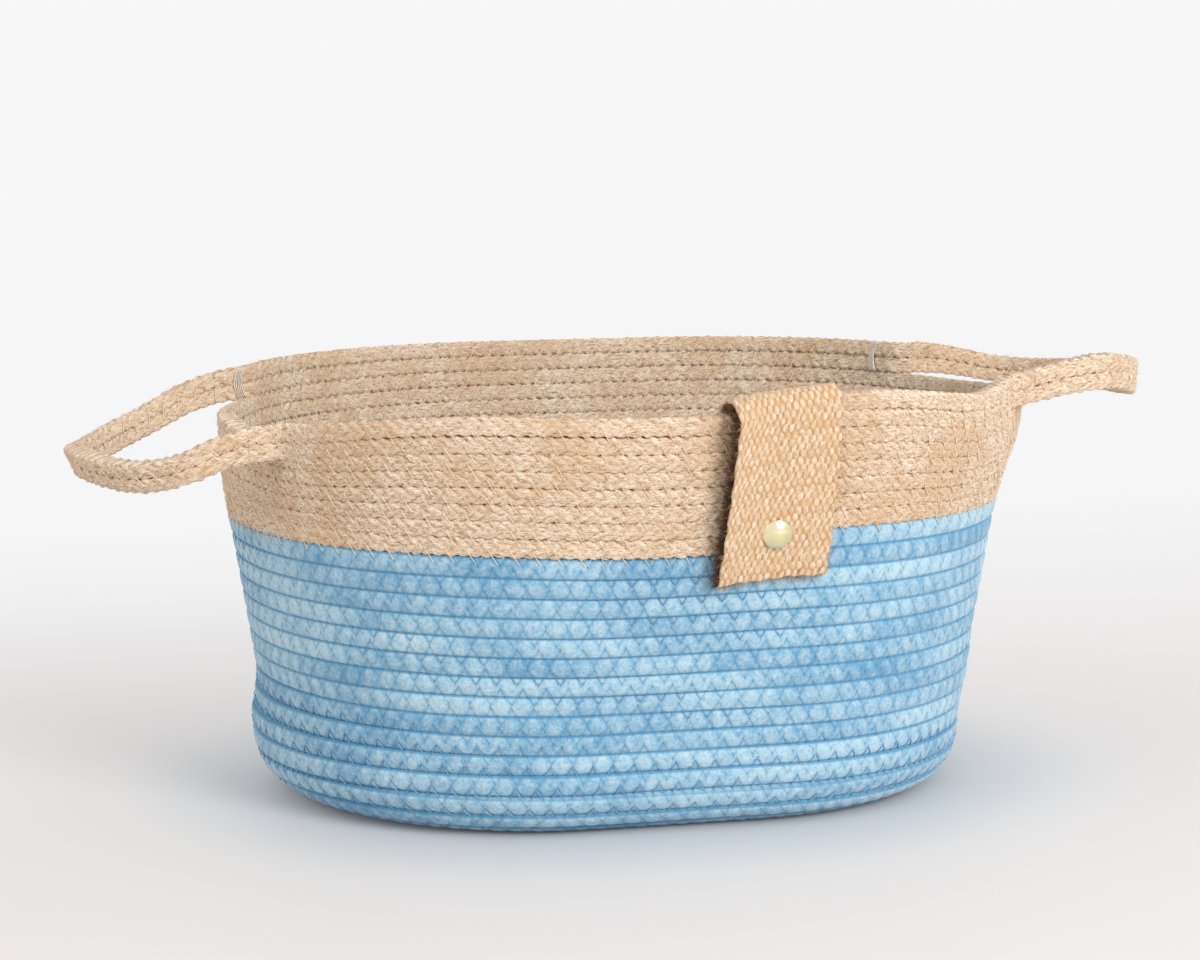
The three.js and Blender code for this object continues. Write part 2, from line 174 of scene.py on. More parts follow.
def droop(place):
    return sum(amount * np.exp(-((place[:, 0] - x) / spread_x) ** 2 - ((place[:, 1] - y) / spread_y) ** 2)
               for amount, x, y, spread_x, spread_y in DROOPS)


def settle(facing, along):
    grows = np.clip(along / SETTLE_ALONG, 0, 1)
    fades = np.exp(-(np.maximum(0, along - SETTLE_ALONG) / SETTLE_SPREAD) ** 2)
    amount = SETTLE - SETTLE_FRONT * np.sin(facing) - SETTLE_LEFT * np.cos(facing)
    return amount * grows ** 2 * (3 - 2 * grows) * fades


def directions(flat, slope):
    """Across a course, which is up the section, and through it, which is out."""
    c, s = np.cos(slope)[:, None], np.sin(slope)[:, None]
    return flat * c + UP * s, flat * s - UP * c


def station(facing, run_end, along):
    out, height, slope = section_line(along)
    flat = np.stack([np.cos(facing), np.sin(facing), np.zeros_like(facing)], 1)
    across, through = directions(flat, slope)
    place = flat * (out + settle(facing, along))[:, None] + UP * height[:, None]
    place[:, 0] += run_end
    place[:, 1] += ROPE_START
    drawn_down = droop(place) * np.clip((along - DROOP_FROM) / (DROOP_TO - DROOP_FROM), 0, 1)
    return place + through * swell(place, along)[:, None] - UP * drawn_down[:, None], across, through


def rope_path(legs, lift=0.0):
    facing, run_end, turns = oval(legs)
    return station(facing, run_end, ROPE_START + ROPE_PITCH * (turns + lift))


def rope_groove(legs):
    return rope_path(legs, 0.5)


def cord_along(turns):
    return JUTE_START + CHANGE_PITCH * np.minimum(turns, 1) + CORD_PITCH * np.maximum(0, turns - 1)


def cord_path(legs, lift=0.0):
    facing, run_end, turns = oval(legs)
    along = np.where(turns + lift < 0, JUTE_START + ROPE_PITCH * (turns + lift), cord_along(turns + lift))
    return station(facing, run_end, along)


def leg_at_front(turn, x):
    return 4 * turn + (START_HALF - x) / (2 * START_HALF)


print("wall height", round(float(section_line(cord_along(8.0))[1]) / MM, 1), "mm")

# %% [markdown]
# ## Even steps along a path
# Stitches and braid keep their length on a short turn in the base and on a long one at the rim. So each path
# is first walked in fine steps to get its length, and then read off at even distances.

# %% Walk a path
STEPS_PER_LEG = 48
SEWING_WANDER = ((0.8 * MM, 47 * MM, 0), (0.25 * MM, 5.3 * MM, 1))
NARROWEST, WIDEST = 0.75, 1.15


def distances(places):
    return np.concatenate([[0], np.cumsum(np.linalg.norm(np.diff(places, axis=0), axis=1))])


def walk(path, first, last, step):
    """The leg counts at even distances along a path, with those distances."""
    inner = np.arange(math.ceil(first * STEPS_PER_LEG), math.floor(last * STEPS_PER_LEG) + 1) / STEPS_PER_LEG
    legs = np.unique(np.concatenate([[first], inner, [last]]))
    length = distances(path(legs)[0])
    even = np.linspace(0, length[-1], max(2, round(length[-1] / step)) + 1)
    return np.interp(even, length, legs), even


def waves(length, *kinds):
    """A small change that comes and goes. Each kind has a size, a wave and a phase."""
    return sum(size * np.sin(length / wave + phase) for size, wave, phase in kinds)


def length_table(path, first, last):
    """Length by leg count. It comes and goes by a millimetre, as stitches that a hand guides do."""
    legs, length = walk(path, first, last, 2 * MM)
    length = length + waves(length, *SEWING_WANDER)
    return lambda wanted: np.interp(wanted, legs, length)


def room(path, legs, pitch):
    """The room that a course has, as a share of its pitch, where the wall is stretched or pressed."""
    apart = np.linalg.norm(path(legs, 0.5)[0] - path(legs, -0.5)[0], axis=1)
    return np.clip(apart / pitch, NARROWEST, WIDEST)[:, None]


def unit(vectors):
    return vectors / np.linalg.norm(vectors, axis=-1, keepdims=True)


# %% [markdown]
# ## Tubes from rings
# Rope, thread and braid are all tubes: rings of points along a path, joined by four-sided faces and closed at
# both ends. A curve with a bevel would give a plain pipe, but these surfaces dent and swell along their
# length, so the rings are written in code. Each point also carries where it lies on its rope, for materials.

# %% Build tubes
THREE_SIDES = np.radians((90, 210, 330))


def rings_at(stations, a, t):
    place, across, through = stations
    return place[:, None] + across[:, None] * a[..., None] + through[:, None] * t[..., None]


def strand(line, side, lift, radius):
    return np.stack([line + radius * (side * math.cos(turn) + lift * math.sin(turn))
                     for turn in THREE_SIDES], 1)


def tube_faces(ring_count, points):
    """The corners of the faces round a tube, and of the two that close it."""
    level = np.arange(ring_count - 1)[:, None] * points
    side = np.arange(points)[None, :]
    after = (side + 1) % points
    quads = np.stack([level + side, level + after, level + after + points, level + side + points], -1)
    caps = [list(range(points))[::-1], [(ring_count - 1) * points + k for k in range(points)]]
    return quads.reshape(-1, 4), caps


def inside_out(points, quads):
    a, b, c, d = ((points - points.mean(0))[quads[:, k]] for k in range(4))
    return np.einsum("ij,ij->i", a, np.cross(b, c) + np.cross(c, d)).sum() < 0


def mesh_object(name, vertices, faces, marks=None):
    """A smooth mesh. The materials read its marks, three numbers for each vertex, as lay."""
    mesh = bpy.data.meshes.new(name)
    mesh.from_pydata(vertices, [], faces, shade_flat=False)
    mesh.validate()
    if marks is not None:
        layer = mesh.attributes.new("lay", "FLOAT_VECTOR", "POINT")
        layer.data.foreach_set("vector", np.ascontiguousarray(marks, np.float32).ravel())
    print(f"{name}: {sum(len(face) - 2 for face in faces)} triangles")
    return new_object(name, mesh)


def tubes_object(name, tubes, marks=None):
    """One mesh object from several tubes. Each tube is rings of points: (rings, points, 3)."""
    vertices, sides, caps, offset = [], [], [], 0
    for rings in tubes:
        quads, ends = tube_faces(rings.shape[0], rings.shape[1])
        flat = rings.reshape(-1, 3)
        if inside_out(flat, quads):
            quads, ends = quads[:, ::-1], [end[::-1] for end in ends]
        vertices.append(flat)
        sides.append(quads + offset)
        caps += [[corner + offset for corner in end] for end in ends]
        offset += len(flat)
    marks = None if marks is None else np.concatenate([part.reshape(-1, 3) for part in marks])
    return mesh_object(name, np.concatenate(vertices), np.concatenate(sides).tolist() + caps, marks)


# %% [markdown]
# ## Blue rope
# The rope is a soft cotton one of 6.5 mm. Each course is sewn to the next by a zigzag stitch of 7 mm across
# the groove, and the thread pulls the rope in. What is left between the legs of two zigzags stands out as a
# pillow. So the ring of the rope is a rounded square, and each of its points sinks by how near it is to a leg
# of the zigzag above or below.

# %% Zigzag stitches
STITCH = 7.0 * MM
THREAD_UP, THREAD_DOWN = 3.3 * MM, 2.75 * MM


def zigzag(length):
    """From -1 to 1 and back over one stitch."""
    return 1 - 4 * np.abs(length / STITCH % 1.0 - 0.5)


def stitch_reach(wave):
    """How far a thread is from its groove, towards the course above or below."""
    return np.where(wave > 0, wave * THREAD_UP, wave * THREAD_DOWN)


# %% Rope with its pillows
ROPE_SQUARENESS, ROPE_GAP_FLOOR = 4.0, 0.75
DENT, DENT_WIDTH, DENT_LIMIT = 0.36 * MM, 1.5 * MM, 1.2
TOUCH = 0.05 * MM
ROPE_WANDER = ((0.12 * MM, 31 * MM, 0), (0.12 * MM, 17.3 * MM, 1))
ROUND = [0, 36, 72, 108, 144, 180, 216, 252, 288, 324]
FINER_OUTSIDE = [0, 27, 50, 72, 90, 108, 130, 153, 180, 218, 255, 285, 322]


def rope_section(degrees):
    """A rounded square, whose outer half keeps some depth at its edges."""
    angles = np.radians(degrees)
    a = np.sign(np.cos(angles)) * np.abs(np.cos(angles)) ** (2 / ROPE_SQUARENESS)
    t = np.sign(np.sin(angles)) * np.abs(np.sin(angles)) ** (2 / ROPE_SQUARENESS)
    t = np.where(np.array(degrees) <= 180, np.maximum(t, ROPE_GAP_FLOOR), t)
    return a * (ROPE_PITCH / 2 + TOUCH), t * ROPE_THROUGH / 2


def rope_piece(name, first, last, step, degrees):
    legs, length = walk(rope_path, first, last, step)
    a, t = rope_section(degrees)
    a, t = a * room(rope_path, legs, ROPE_PITCH), np.broadcast_to(t, (len(legs), len(t)))
    above, below = groove_length(legs)[:, None], groove_length(legs - 4)[:, None]
    dent = np.zeros(a.shape)
    for groove, spot in ((1, above), (-1, below)):
        thread = groove * ROPE_PITCH / 2 + stitch_reach(zigzag(spot))
        dent = dent + np.exp(-((a - thread) / DENT_WIDTH) ** 2)
    face = np.clip(np.abs(t) / (ROPE_THROUGH / 2), 0, 1) * np.sign(t)
    t = t - face * DENT * np.clip(dent, 0, DENT_LIMIT) + waves(length, *ROPE_WANDER)[:, None]
    rings = rings_at(rope_path(legs), a, t)
    rings[..., 2] = np.maximum(rings[..., 2], 0)
    piece = tubes_object(name, [rings], [np.stack(np.broadcast_arrays(length[:, None], a, above), -1)])
    second = piece.data.attributes.new("below", "FLOAT", "POINT")
    second.data.foreach_set("value", np.broadcast_to(below, a.shape).astype(np.float32).ravel())
    return piece


rope_join = leg_at_front(BASE_TURNS, (RUN_ON_X + LATER_START_X) / 2)
groove_length = length_table(rope_groove, 0, 4 * ROPE_TURNS + 1)
base_rope = rope_piece("base_rope", 0, rope_join, 1.3 * MM, ROUND)
wall_rope = rope_piece("wall_rope", rope_join, leg_at_front(ROPE_TURNS, RUN_ON_X), 1.6 * MM, FINER_OUTSIDE)

# %% [markdown]
# ## Thread
# The thread lies on the rope, so it is its own mesh: a three-sided strand that dives at each needle hole and
# spans the groove. The same zigzag that dented the rope places it, and it shows on both faces of the wall.

# %% Sew a zigzag along a path
TIP_SHARE, DIVE_FROM, DIVE_RUN, LYING = 0.14, 0.8, 0.2, 0.5
BLUE_THREAD = {"radius": 0.2 * MM, "surface": 2.92 * MM, "groove_sink": 0.55 * MM, "hole_sink": 0.6 * MM}


def by_length(path, first, last, table=None):
    """A path's places read by distance along it, with the distances at its two ends."""
    legs, length = walk(path, first, last, 1.5 * MM)
    if table is not None:
        length = table(legs)
    return lambda at: path(np.interp(at, length, legs)), length[0], length[-1]


def thread_tubes(route, radius, surface, groove_sink, hole_sink, faces=(1, -1), slack=0.0):
    """A zigzag along a groove. surface is how far the thread lies from the middle of the wall."""
    read, start, end = route
    half = STITCH / 2
    tips = np.arange(math.ceil(start / half), math.floor(end / half) + 1) * half
    nodes = np.concatenate([tips, tips - TIP_SHARE * half, tips + TIP_SHARE * half, tips + half / 2])
    nodes = np.unique(np.round(nodes, 7))
    nodes = nodes[(nodes >= start) & (nodes <= end)]
    place, across, through = read(nodes)
    wave = zigzag(nodes)
    middle = np.clip(1 - np.abs(wave) / LYING, 0, 1)
    tip = np.clip((np.abs(wave) - DIVE_FROM) / DIVE_RUN, 0, 1)
    raised = np.where((nodes / STITCH) % 1.0 < 0.5, 1, -1)
    height = surface - groove_sink * middle - hole_sink * tip + slack * raised * (1 - tip)
    tubes = []
    for face in faces:
        line = place + across * stitch_reach(wave)[:, None] + through * (face * height)[:, None]
        line[:, 2] = np.maximum(line[:, 2], radius)
        ahead = unit(np.gradient(line, axis=0))
        side = unit(np.cross(through, ahead))
        tubes.append(strand(line, side, unit(np.cross(ahead, side)), radius))
    return tubes


base_route = by_length(rope_groove, 0.2, 4 * BASE_TURNS, groove_length)
wall_route = by_length(rope_groove, 4 * BASE_TURNS, leg_at_front(ROPE_TURNS - 1, RUN_ON_X), groove_length)
base_thread = tubes_object("base_thread", thread_tubes(base_route, faces=(-1,), **BLUE_THREAD))
wall_thread = tubes_object("wall_thread", thread_tubes(wall_route, **BLUE_THREAD))

# %% [markdown]
# ## Jute cord
# The upper cord is jute, plaited flat from three strands. Each comes up in the middle, runs slanting to one
# edge and dives there, so a face of the cord has two rows of slanted grains that meet like the bones of a
# herring. Separate strands would leave holes that the real cord, full of fibres, doesn't have. So the cord is
# one closed tube, whose faces rise and fall by the formula of the plait. Every piece of cord is cut from such
# a tube, and the pattern runs on from piece to piece.

# %% Plait
GRAIN, GRAIN_SLANT, GRAIN_RISE = 4.2 * MM, 1.2, 0.75 * MM
CORD_SQUARENESS = 7.0
EDGE_BULGE, GAP_FLOOR, INNER_GAP_FLOOR = 0.6 * MM, 0.62, 0.9
PLAIT_WANDER = ((0.5 * MM, 8.3 * MM, 0), (0.4 * MM, 3.1 * MM, 2))
FULLER, FULLER_WAVE = 0.025, 23 * MM
MIDDLE_SWAY, GRAIN_CURVE, GRAIN_CHANGE = 0.2, 0.9, 0.25
LEVEL_FACE, LEVEL_EDGE, EDGE_SHARE = 0.6, 0.35, 0.25
FACE_OUT = [1, 0.93, 0.75, 0.5, 0.25, 0, -0.25, -0.5, -0.75, -0.93, -1]
FACE_IN = [-0.97, -0.6, 0, 0.6, 0.97]
CORD_SHARES = np.array(FACE_OUT + FACE_IN)
CORD_FACES = np.array([1] * len(FACE_OUT) + [-1] * len(FACE_IN))


def plait_height(length, share):
    """From 0 in the dips of a plait to 1 on its grains. share is from -1 to 1 across the cord."""
    middle = share - MIDDLE_SWAY * np.sin(2 * np.pi * length / GRAIN)
    row = np.where(middle > 0, 0.0, 0.5)
    slanted = length - GRAIN_SLANT * np.abs(middle) * CORD_PITCH / 2
    number, part = np.divmod(slanted / GRAIN + row, 1)
    along = np.sin(np.pi * part) ** GRAIN_CURVE
    sideways = np.sqrt(np.clip(np.sin(np.pi * np.clip(np.abs(middle) * GRAIN_CURVE, 0, 1)), 0, 1))
    return along * sideways * (1 + GRAIN_CHANGE * np.sin(number * 2.4 + row * 5))


def cord_tube(stations, length, phase=0.0, fullness=1.0):
    """Rings of a plaited cord and its marks: length, place across and height of the plait."""
    share = np.broadcast_to(CORD_SHARES, (len(length), len(CORD_SHARES)))
    run = (length + phase + waves(length, *PLAIT_WANDER))[:, None] + np.where(CORD_FACES < 0, GRAIN / 2, 0)
    height = plait_height(run, share)
    side = (1 - np.abs(CORD_SHARES) ** CORD_SQUARENESS) ** (1 / CORD_SQUARENESS)
    side = np.maximum(side, np.where(CORD_FACES > 0, GAP_FLOOR, INNER_GAP_FLOOR))
    full = 1 + waves(length, (FULLER, FULLER_WAVE, phase / MM))[:, None]
    t = CORD_FACES * (side * CORD_THROUGH / 2 * full + (height - LEVEL_FACE) * GRAIN_RISE * side)
    near_edge = np.clip(1 - (1 - np.abs(share)) / EDGE_SHARE, 0, 1)
    a = share * (CORD_PITCH / 2 + TOUCH + near_edge * (height - LEVEL_EDGE) * EDGE_BULGE)
    return rings_at(stations, a * fullness, t), np.stack([run, share, height], -1)


band_start, band_end = leg_at_front(0, LATER_START_X), leg_at_front(JUTE_TURNS, RUN_ON_X)
band_legs, band_length = walk(cord_path, band_start, band_end, 0.9 * MM)
band_room = room(cord_path, np.maximum(band_legs, 2), CORD_PITCH)
band_rings, band_marks = cord_tube(cord_path(band_legs), band_length, fullness=band_room)
band_cord = tubes_object("band_cord", [band_rings], [band_marks])

# %% [markdown]
# ## Rim strip and handles
# The last two turns of cord lie on each other as a strip. At each end of the basket it leaves the wall, goes
# out as a loop and comes back, and that loop is the handle. The strip is unbroken, so its whole route is made
# first, as one chain of points, and smoothed where it leaves the wall. Then it is cut where the handles
# begin, because those stretches have to follow the handle when it is lifted.

# %% Route of the strip
joints = {joint["name"]: joint for joint in frame["joints"]}
HINGE = {-1: Vector(joints["handle_left_flex"]["pos_m"]), 1: Vector(joints["handle_right_flex"]["pos_m"])}
HANDLE_REACH, HANDLE_HALF = 197 * MM, 58.5 * MM
ROOT_BEND, STUB_RUN, HINGE_CLEARANCE = 8 * MM, 6 * MM, 0.3 * MM
STRIP_HALF = (CORD_PITCH + CORD_ACROSS) / 2
STUB_END = HINGE[1].x - STRIP_HALF - HINGE_CLEARANCE
# The roots in the order in which the strip meets them: -1 or 1 for left or right, and for near or far
ROOTS = ((-1, -1), (-1, 1), (1, 1), (1, -1))
TILT = {-1: math.radians(-24.5), 1: math.radians(-5)}
CURL = {-1: 3.3 * MM, 1: 1.5 * MM}
LOOP_SHORTER = {-1: 2 * MM, 1: 4 * MM}
# How much narrower the strip looks than on the wall, for the near and the far strand
NARROWER = {-1: (0.13, 0.1), 1: (-0.05, 0.13)}
NARROWING_RUN, NARROWING_TURN = 22 * MM, 25 * MM
STUB_STEPS, LOOP_STEPS, STRIP_STEP = 12, 60, 0.95 * MM
EASE_REACH, EASE_SPREAD = 7 * MM, 3.2 * MM


def stub(sx, sy, lift):
    """From the wall out to the hinge end of a root, with the leg count where it leaves the wall."""
    turns = JUTE_TURNS + lift + 0.5 + sx / 4
    end_radius = float(section_line(cord_along(turns))[0]) + ROOT_BEND
    spread = math.asin((HANDLE_HALF + ROOT_BEND) / end_radius)
    off_middle = -sx * sy * spread / math.pi
    out, height, slope = (float(value) for value in section_line(cord_along(turns + off_middle / 2)))
    heading = np.linspace(spread, math.pi / 2, STUB_STEPS)
    flat = np.stack([sx * np.cos(heading), sy * np.sin(heading), np.zeros(STUB_STEPS)], 1)
    across, through = directions(flat, np.linspace(slope, math.pi / 2, STUB_STEPS))
    middle = np.array([sx * (START_HALF + (out + ROOT_BEND) * math.cos(spread)),
                       sy * (out + ROOT_BEND) * math.sin(spread) + ROPE_START, height])
    place = middle - ROOT_BEND * flat
    pushed = through * swell(place, cord_along(JUTE_TURNS + lift + 0.5))[:, None] * np.cos(heading)[:, None]
    end = np.array([[sx * STUB_END, sy * HANDLE_HALF + ROPE_START, HINGE[sx].z + (lift - 0.5) * CORD_PITCH]])
    place = np.concatenate([place + pushed, end])
    place[:, 2] -= droop(place)
    leg = 4 * JUTE_TURNS + 2.5 + sx + off_middle
    return leg, place, np.concatenate([across, across[-1:]]), np.concatenate([through, through[-1:]])


def strip_width(x, y):
    """The strip's width as a share of its width on the wall."""
    left, right = (np.interp(y, (-NARROWING_TURN, NARROWING_TURN), NARROWER[sx]) for sx in (-1, 1))
    return 1 - np.where(x < 0, left, right) * np.clip((np.abs(x) - STUB_END) / NARROWING_RUN, 0, 1)


def handle_loop(sx, lift):
    """From the front end of a handle round its tip to the back end."""
    turned = np.linspace(-math.pi / 2, math.pi / 2, LOOP_STEPS)
    reach = HANDLE_REACH - LOOP_SHORTER[sx] - HINGE[1].x - STUB_RUN
    x = STUB_RUN + reach * np.cos(turned)
    y = HANDLE_HALF * np.sin(turned)
    width = CORD_PITCH * strip_width(sx * (HINGE[1].x + x), y + ROPE_START)
    z = (lift - 0.5) * width + CURL[sx] * np.cos(turned) ** 2
    facing = np.arctan2(np.sin(turned) / HANDLE_HALF, np.cos(turned) / reach)
    c, s = math.cos(-TILT[sx]), math.sin(-TILT[sx])
    place = np.stack([sx * (x * c + z * s) + HINGE[sx].x, y + ROPE_START, z * c - x * s + HINGE[sx].z], 1)
    place[:, 2] -= droop(place)
    through = np.stack([sx * np.cos(facing) * c, np.sin(facing), -np.cos(facing) * s], 1)
    return place, np.broadcast_to([sx * s, 0, c], place.shape), through


def read_at(at, length, values):
    return np.stack([np.interp(at, length, values[:, k]) for k in range(3)], 1)


def strip_chain(lift):
    """The whole strip as even steps of (place, across, through), with distances."""

    def on_wall(start, end):
        return cord_path(walk(lambda legs: cord_path(legs, lift), start, end, 1.5 * MM)[0], lift)

    def backwards(parts):
        return [part[::-1] for part in parts]

    near_left, far_left, far_right, near_right = (stub(sx, sy, lift) for sx, sy in ROOTS)
    stretches = [on_wall(leg_at_front(JUTE_TURNS, LATER_START_X), near_left[0]), near_left[1:],
                 handle_loop(-1, lift), backwards(far_left[1:]), on_wall(far_left[0], far_right[0]),
                 far_right[1:], backwards(handle_loop(1, lift)), backwards(near_right[1:]),
                 on_wall(near_right[0], leg_at_front(JUTE_TURNS + 1, RUN_ON_X))]
    place, across, through = (np.concatenate([stretch[k] for stretch in stretches]) for k in range(3))
    length = distances(place)
    even = np.linspace(0, length[-1], round(length[-1] / STRIP_STEP) + 1)
    reach = round(EASE_REACH / STRIP_STEP)
    weights = np.exp(-(np.arange(-reach, reach + 1) * STRIP_STEP / EASE_SPREAD) ** 2)
    weights /= weights.sum()

    def smooth(values):
        values = read_at(even, length, values)
        padded = np.concatenate([np.repeat(values[:1], reach, 0), values, np.repeat(values[-1:], reach, 0)])
        return np.stack([np.convolve(padded[:, k], weights, "valid") for k in range(3)], 1)

    eased, plain = smooth(place), read_at(even, length, place)
    eased[:reach], eased[-reach:] = plain[:reach], plain[-reach:]
    return eased, unit(smooth(across)), unit(smooth(through)), even


# %% Cut the strip into pieces
STRIP_PIECES = ["rim_front_left", "handle_left", "rim_back", "handle_right", "rim_front_right"]
CUT_X = STUB_END + 0.2 * MM
RIM_ROLL, ROLL_EASE, TAG_CLEAR = 0.23, 18 * MM, 25 * MM
PLAIT_STARTS = {"lower": 3 * MM, "upper": 8 * MM}


def cut_places(place):
    """The steps at which the strip passes from the rim to a handle or back."""
    outside = np.abs(place[:, 0]) > CUT_X
    return [0, *(np.flatnonzero(np.diff(outside.astype(int))) + 1), len(place) - 1]


def rolled(place, across, through):
    """The top course of the front rim leans back, so its lower edge stands off and casts a shadow."""
    towards_root = np.clip((CUT_X - np.abs(place[:, 0])) / ROLL_EASE, 0, 1)
    towards_tag = np.clip((np.abs(place[:, 0] - START_HALF) - TAG_CLEAR) / ROLL_EASE, 0, 1)
    roll = RIM_ROLL * (place[:, 1] < 0) * towards_root * towards_tag
    c, s = np.cos(roll)[:, None], np.sin(roll)[:, None]
    return place, across * c - through * s, through * c + across * s


strip_cords = {}
for lift, (level, phase) in enumerate(PLAIT_STARTS.items()):
    *stations, length = strip_chain(lift)
    place = stations[0]
    rings, marks = cord_tube(rolled(*stations) if level == "upper" else stations, length, phase,
                             strip_width(place[:, :1], place[:, 1:2]))
    cuts = cut_places(place)
    for name, start, end in zip(STRIP_PIECES, cuts, cuts[1:]):
        part = slice(start, end + 1)
        strip_cords[name, level] = tubes_object(f"{name}_{level}_cord", [rings[part]], [marks[part]])

# %% [markdown]
# ## Cream thread
# The jute is sewn with a cream thread. One leg of its zigzag lies on the cord and shows, and the other is
# drawn in between the grains. The seam of the strip goes right round the handles, so it is cut as they are.

# %% Sew the jute
CREAM = {"radius": 0.17 * MM, "surface": 2.95 * MM, "groove_sink": 0.3 * MM, "hole_sink": 0.7 * MM,
         "slack": 0.38 * MM}


def cord_seam(legs):
    return cord_path(legs, 0.5)


def border_seam(legs):
    facing, run_end, turns = oval(legs)
    low = -(ROPE_PITCH - ROPE_ACROSS / 2 + CORD_ACROSS / 2) / 2
    high = (ROPE_ACROSS / 2 + CHANGE_PITCH - CORD_ACROSS / 2) / 2
    return station(facing, run_end, JUTE_START + low + (high - low) * turns)


seam_legs = [band_start, *[stub(sx, sy, 0)[0] - 4 for sx, sy in ROOTS], band_end]
routes = [by_length(border_seam, band_start, leg_at_front(1, RUN_ON_X))]
routes += [by_length(cord_seam, first, last) for first, last in zip(seam_legs[::2], seam_legs[1::2])]
band_thread = tubes_object("band_thread", [tube for route in routes for tube in thread_tubes(route, **CREAM)])

*seam, seam_length = strip_chain(0.5)
seam_cuts = cut_places(seam[0])
seam_parts = list(zip(STRIP_PIECES, seam_cuts, seam_cuts[1:]))


def seam_at(at):
    return tuple(read_at(at, seam_length, values) for values in seam)


strip_threads = {}
for name, start, end in seam_parts:
    route = (seam_at, seam_length[start], seam_length[end])
    strip_threads[name] = tubes_object(f"{name}_thread", thread_tubes(route, **CREAM))

# %% [markdown]
# ## Loose fibres
# Jute is a hairy yarn, and its outline is never clean, so a few thousand short fibres stand out of the cord.
# Each is a bent three-sided spike, placed by chance, and the chance is seeded so that every run gives the
# same ones. Their lengths and radii are in mm.

# %% Fibres
SIDEWAYS, TAPER = 0.35, np.array([1.0, 0.85, 0.25])
BAND_FIBRES, STRIP_SPACING = 2600, 0.8 * MM


def fibres_object(name, roots, ahead, outward, seed, length, lift, radius):
    """One spike for each root. ahead is along the yarn and outward is away from it."""
    chance = np.random.default_rng(seed)
    count = len(roots)
    size = chance.uniform(*length, count)[:, None] * MM
    away = chance.uniform(*lift, (2, count))[..., None]
    forward_or_back = chance.choice([-1, 1], count)[:, None]
    sideways = np.cross(ahead, outward) * chance.normal(0, SIDEWAYS, (2, count, 1))
    first = unit(ahead * forward_or_back + outward * away[0] + sideways[0])
    second = unit(ahead * forward_or_back + outward * away[1] + sideways[0] + sideways[1])
    middle = roots + first * size * 0.5
    line = np.stack([roots, middle, middle + second * size * 0.5], 1)
    side = unit(np.cross(first, outward + 1e-3))
    lifted = np.cross(side, first)
    around = side[:, None] * np.cos(THREE_SIDES)[:, None] + lifted[:, None] * np.sin(THREE_SIDES)[:, None]
    thick = radius * MM * TAPER[:, None, None]
    rings = line[:, :, None] + thick * around[:, None]
    quads, ends = tube_faces(3, 3)
    if inside_out(rings[0].reshape(-1, 3), quads):
        quads = quads[:, ::-1]
    faces = (quads[None] + np.arange(count)[:, None, None] * 9).reshape(-1, 4).tolist()
    faces += [[corner + 9 * k for corner in end] for k in range(count) for end in ends]
    return mesh_object(name, rings.reshape(-1, 3), faces)


def fibres_on(name, stations, seed, count, half_across, half_through, arc=(0, 2 * math.pi), **kinds):
    """Fibres on a cord, all round it or on an arc of its outer face."""
    chance = np.random.default_rng(seed)
    place, across, through = stations
    pick = chance.integers(1, len(place) - 1, count)
    around = chance.uniform(*arc, count)[:, None]
    outward = across[pick] * np.sin(around) + through[pick] * np.cos(around)
    roots = place[pick] + across[pick] * half_across * np.sin(around) \
        + through[pick] * half_through * np.cos(around)
    ahead = unit(place[pick + 1] - place[pick - 1])
    return fibres_object(name, roots, ahead, outward, seed + 1, **kinds)


band_fibres = fibres_on("band_fibres", cord_path(band_legs), 11, BAND_FIBRES, 2.3 * MM, 2.7 * MM,
                        arc=(-0.9, 0.9), length=(2, 5), lift=(0.05, 0.5), radius=0.04)
strip_fibres = {}
for index, (name, start, end) in enumerate(seam_parts):
    part = [values[start:end + 1] for values in seam]
    count = round((seam_length[end] - seam_length[start]) / STRIP_SPACING)
    strip_fibres[name] = fibres_on(f"{name}_fibres", part, 31 + index, count, 5.1 * MM, 2.5 * MM,
                                   length=(1.5, 5), lift=(0.1, 1.0), radius=0.04)

# %% [markdown]
# ## The tag
# The tag is jute webbing, folded over the rim and riveted through the wall. In its plain weave a lengthwise
# yarn goes over one cross yarn and under the next, and where it comes up it swells to an oval that hides its
# neighbours. So the surface is ovals in offset rows, by formula, and both faces are made from it, as one
# closed sheet. The left edge stands off the wall, and the whole tag leans.

# %% Shape of the tag
TAG_WIDTH, TAG_THICKNESS, TAG_DROP = 39 * MM, 2.2 * MM, 66 * MM
TAG_GAP, FOLD_ROOM = 0.35 * MM, 0.6 * MM
TAG_X = START_HALF - 2.5 * MM
TAG_MIDDLE = ROPE_THROUGH / 2 + TAG_GAP + TAG_THICKNESS / 2
TAG_FOLD = cord_along(JUTE_TURNS + 2) + CORD_ACROSS / 2 + FOLD_ROOM - (TAG_MIDDLE - TAG_THICKNESS / 2)
TAG_FOOT = TAG_FOLD + TAG_MIDDLE + TAG_THICKNESS / 2 - TAG_DROP
TAG_STRAIGHT = TAG_FOLD - TAG_FOOT
TAG_LENGTH = 2 * TAG_STRAIGHT + math.pi * TAG_MIDDLE
TAG_LEAN = math.tan(math.radians(4.0))
TAG_SLOPE, SLOPE_AT_FOOT, TAG_PULL, TAG_SHORTER = 0.07, 0.4, -0.6 * MM, 1.4 * MM
TAG_DRAWN_IN, TAG_BACK_SHIFT = 3 * MM, 3 * MM
EDGE_LIFT_FOOT, EDGE_LIFT_MORE, EDGE_FROM, EDGE_CURVE = 4.0, 3.0, 0.1, 1.7
WARPS, WEFTS = 32, 54
WARP_SAMPLES, WEFT_SAMPLES = 3, 5
OVAL_WIDE, OVAL_LONG = 0.82, 0.66
HALF_SHEET, RELIEF = 0.35 * MM, 0.55 * MM


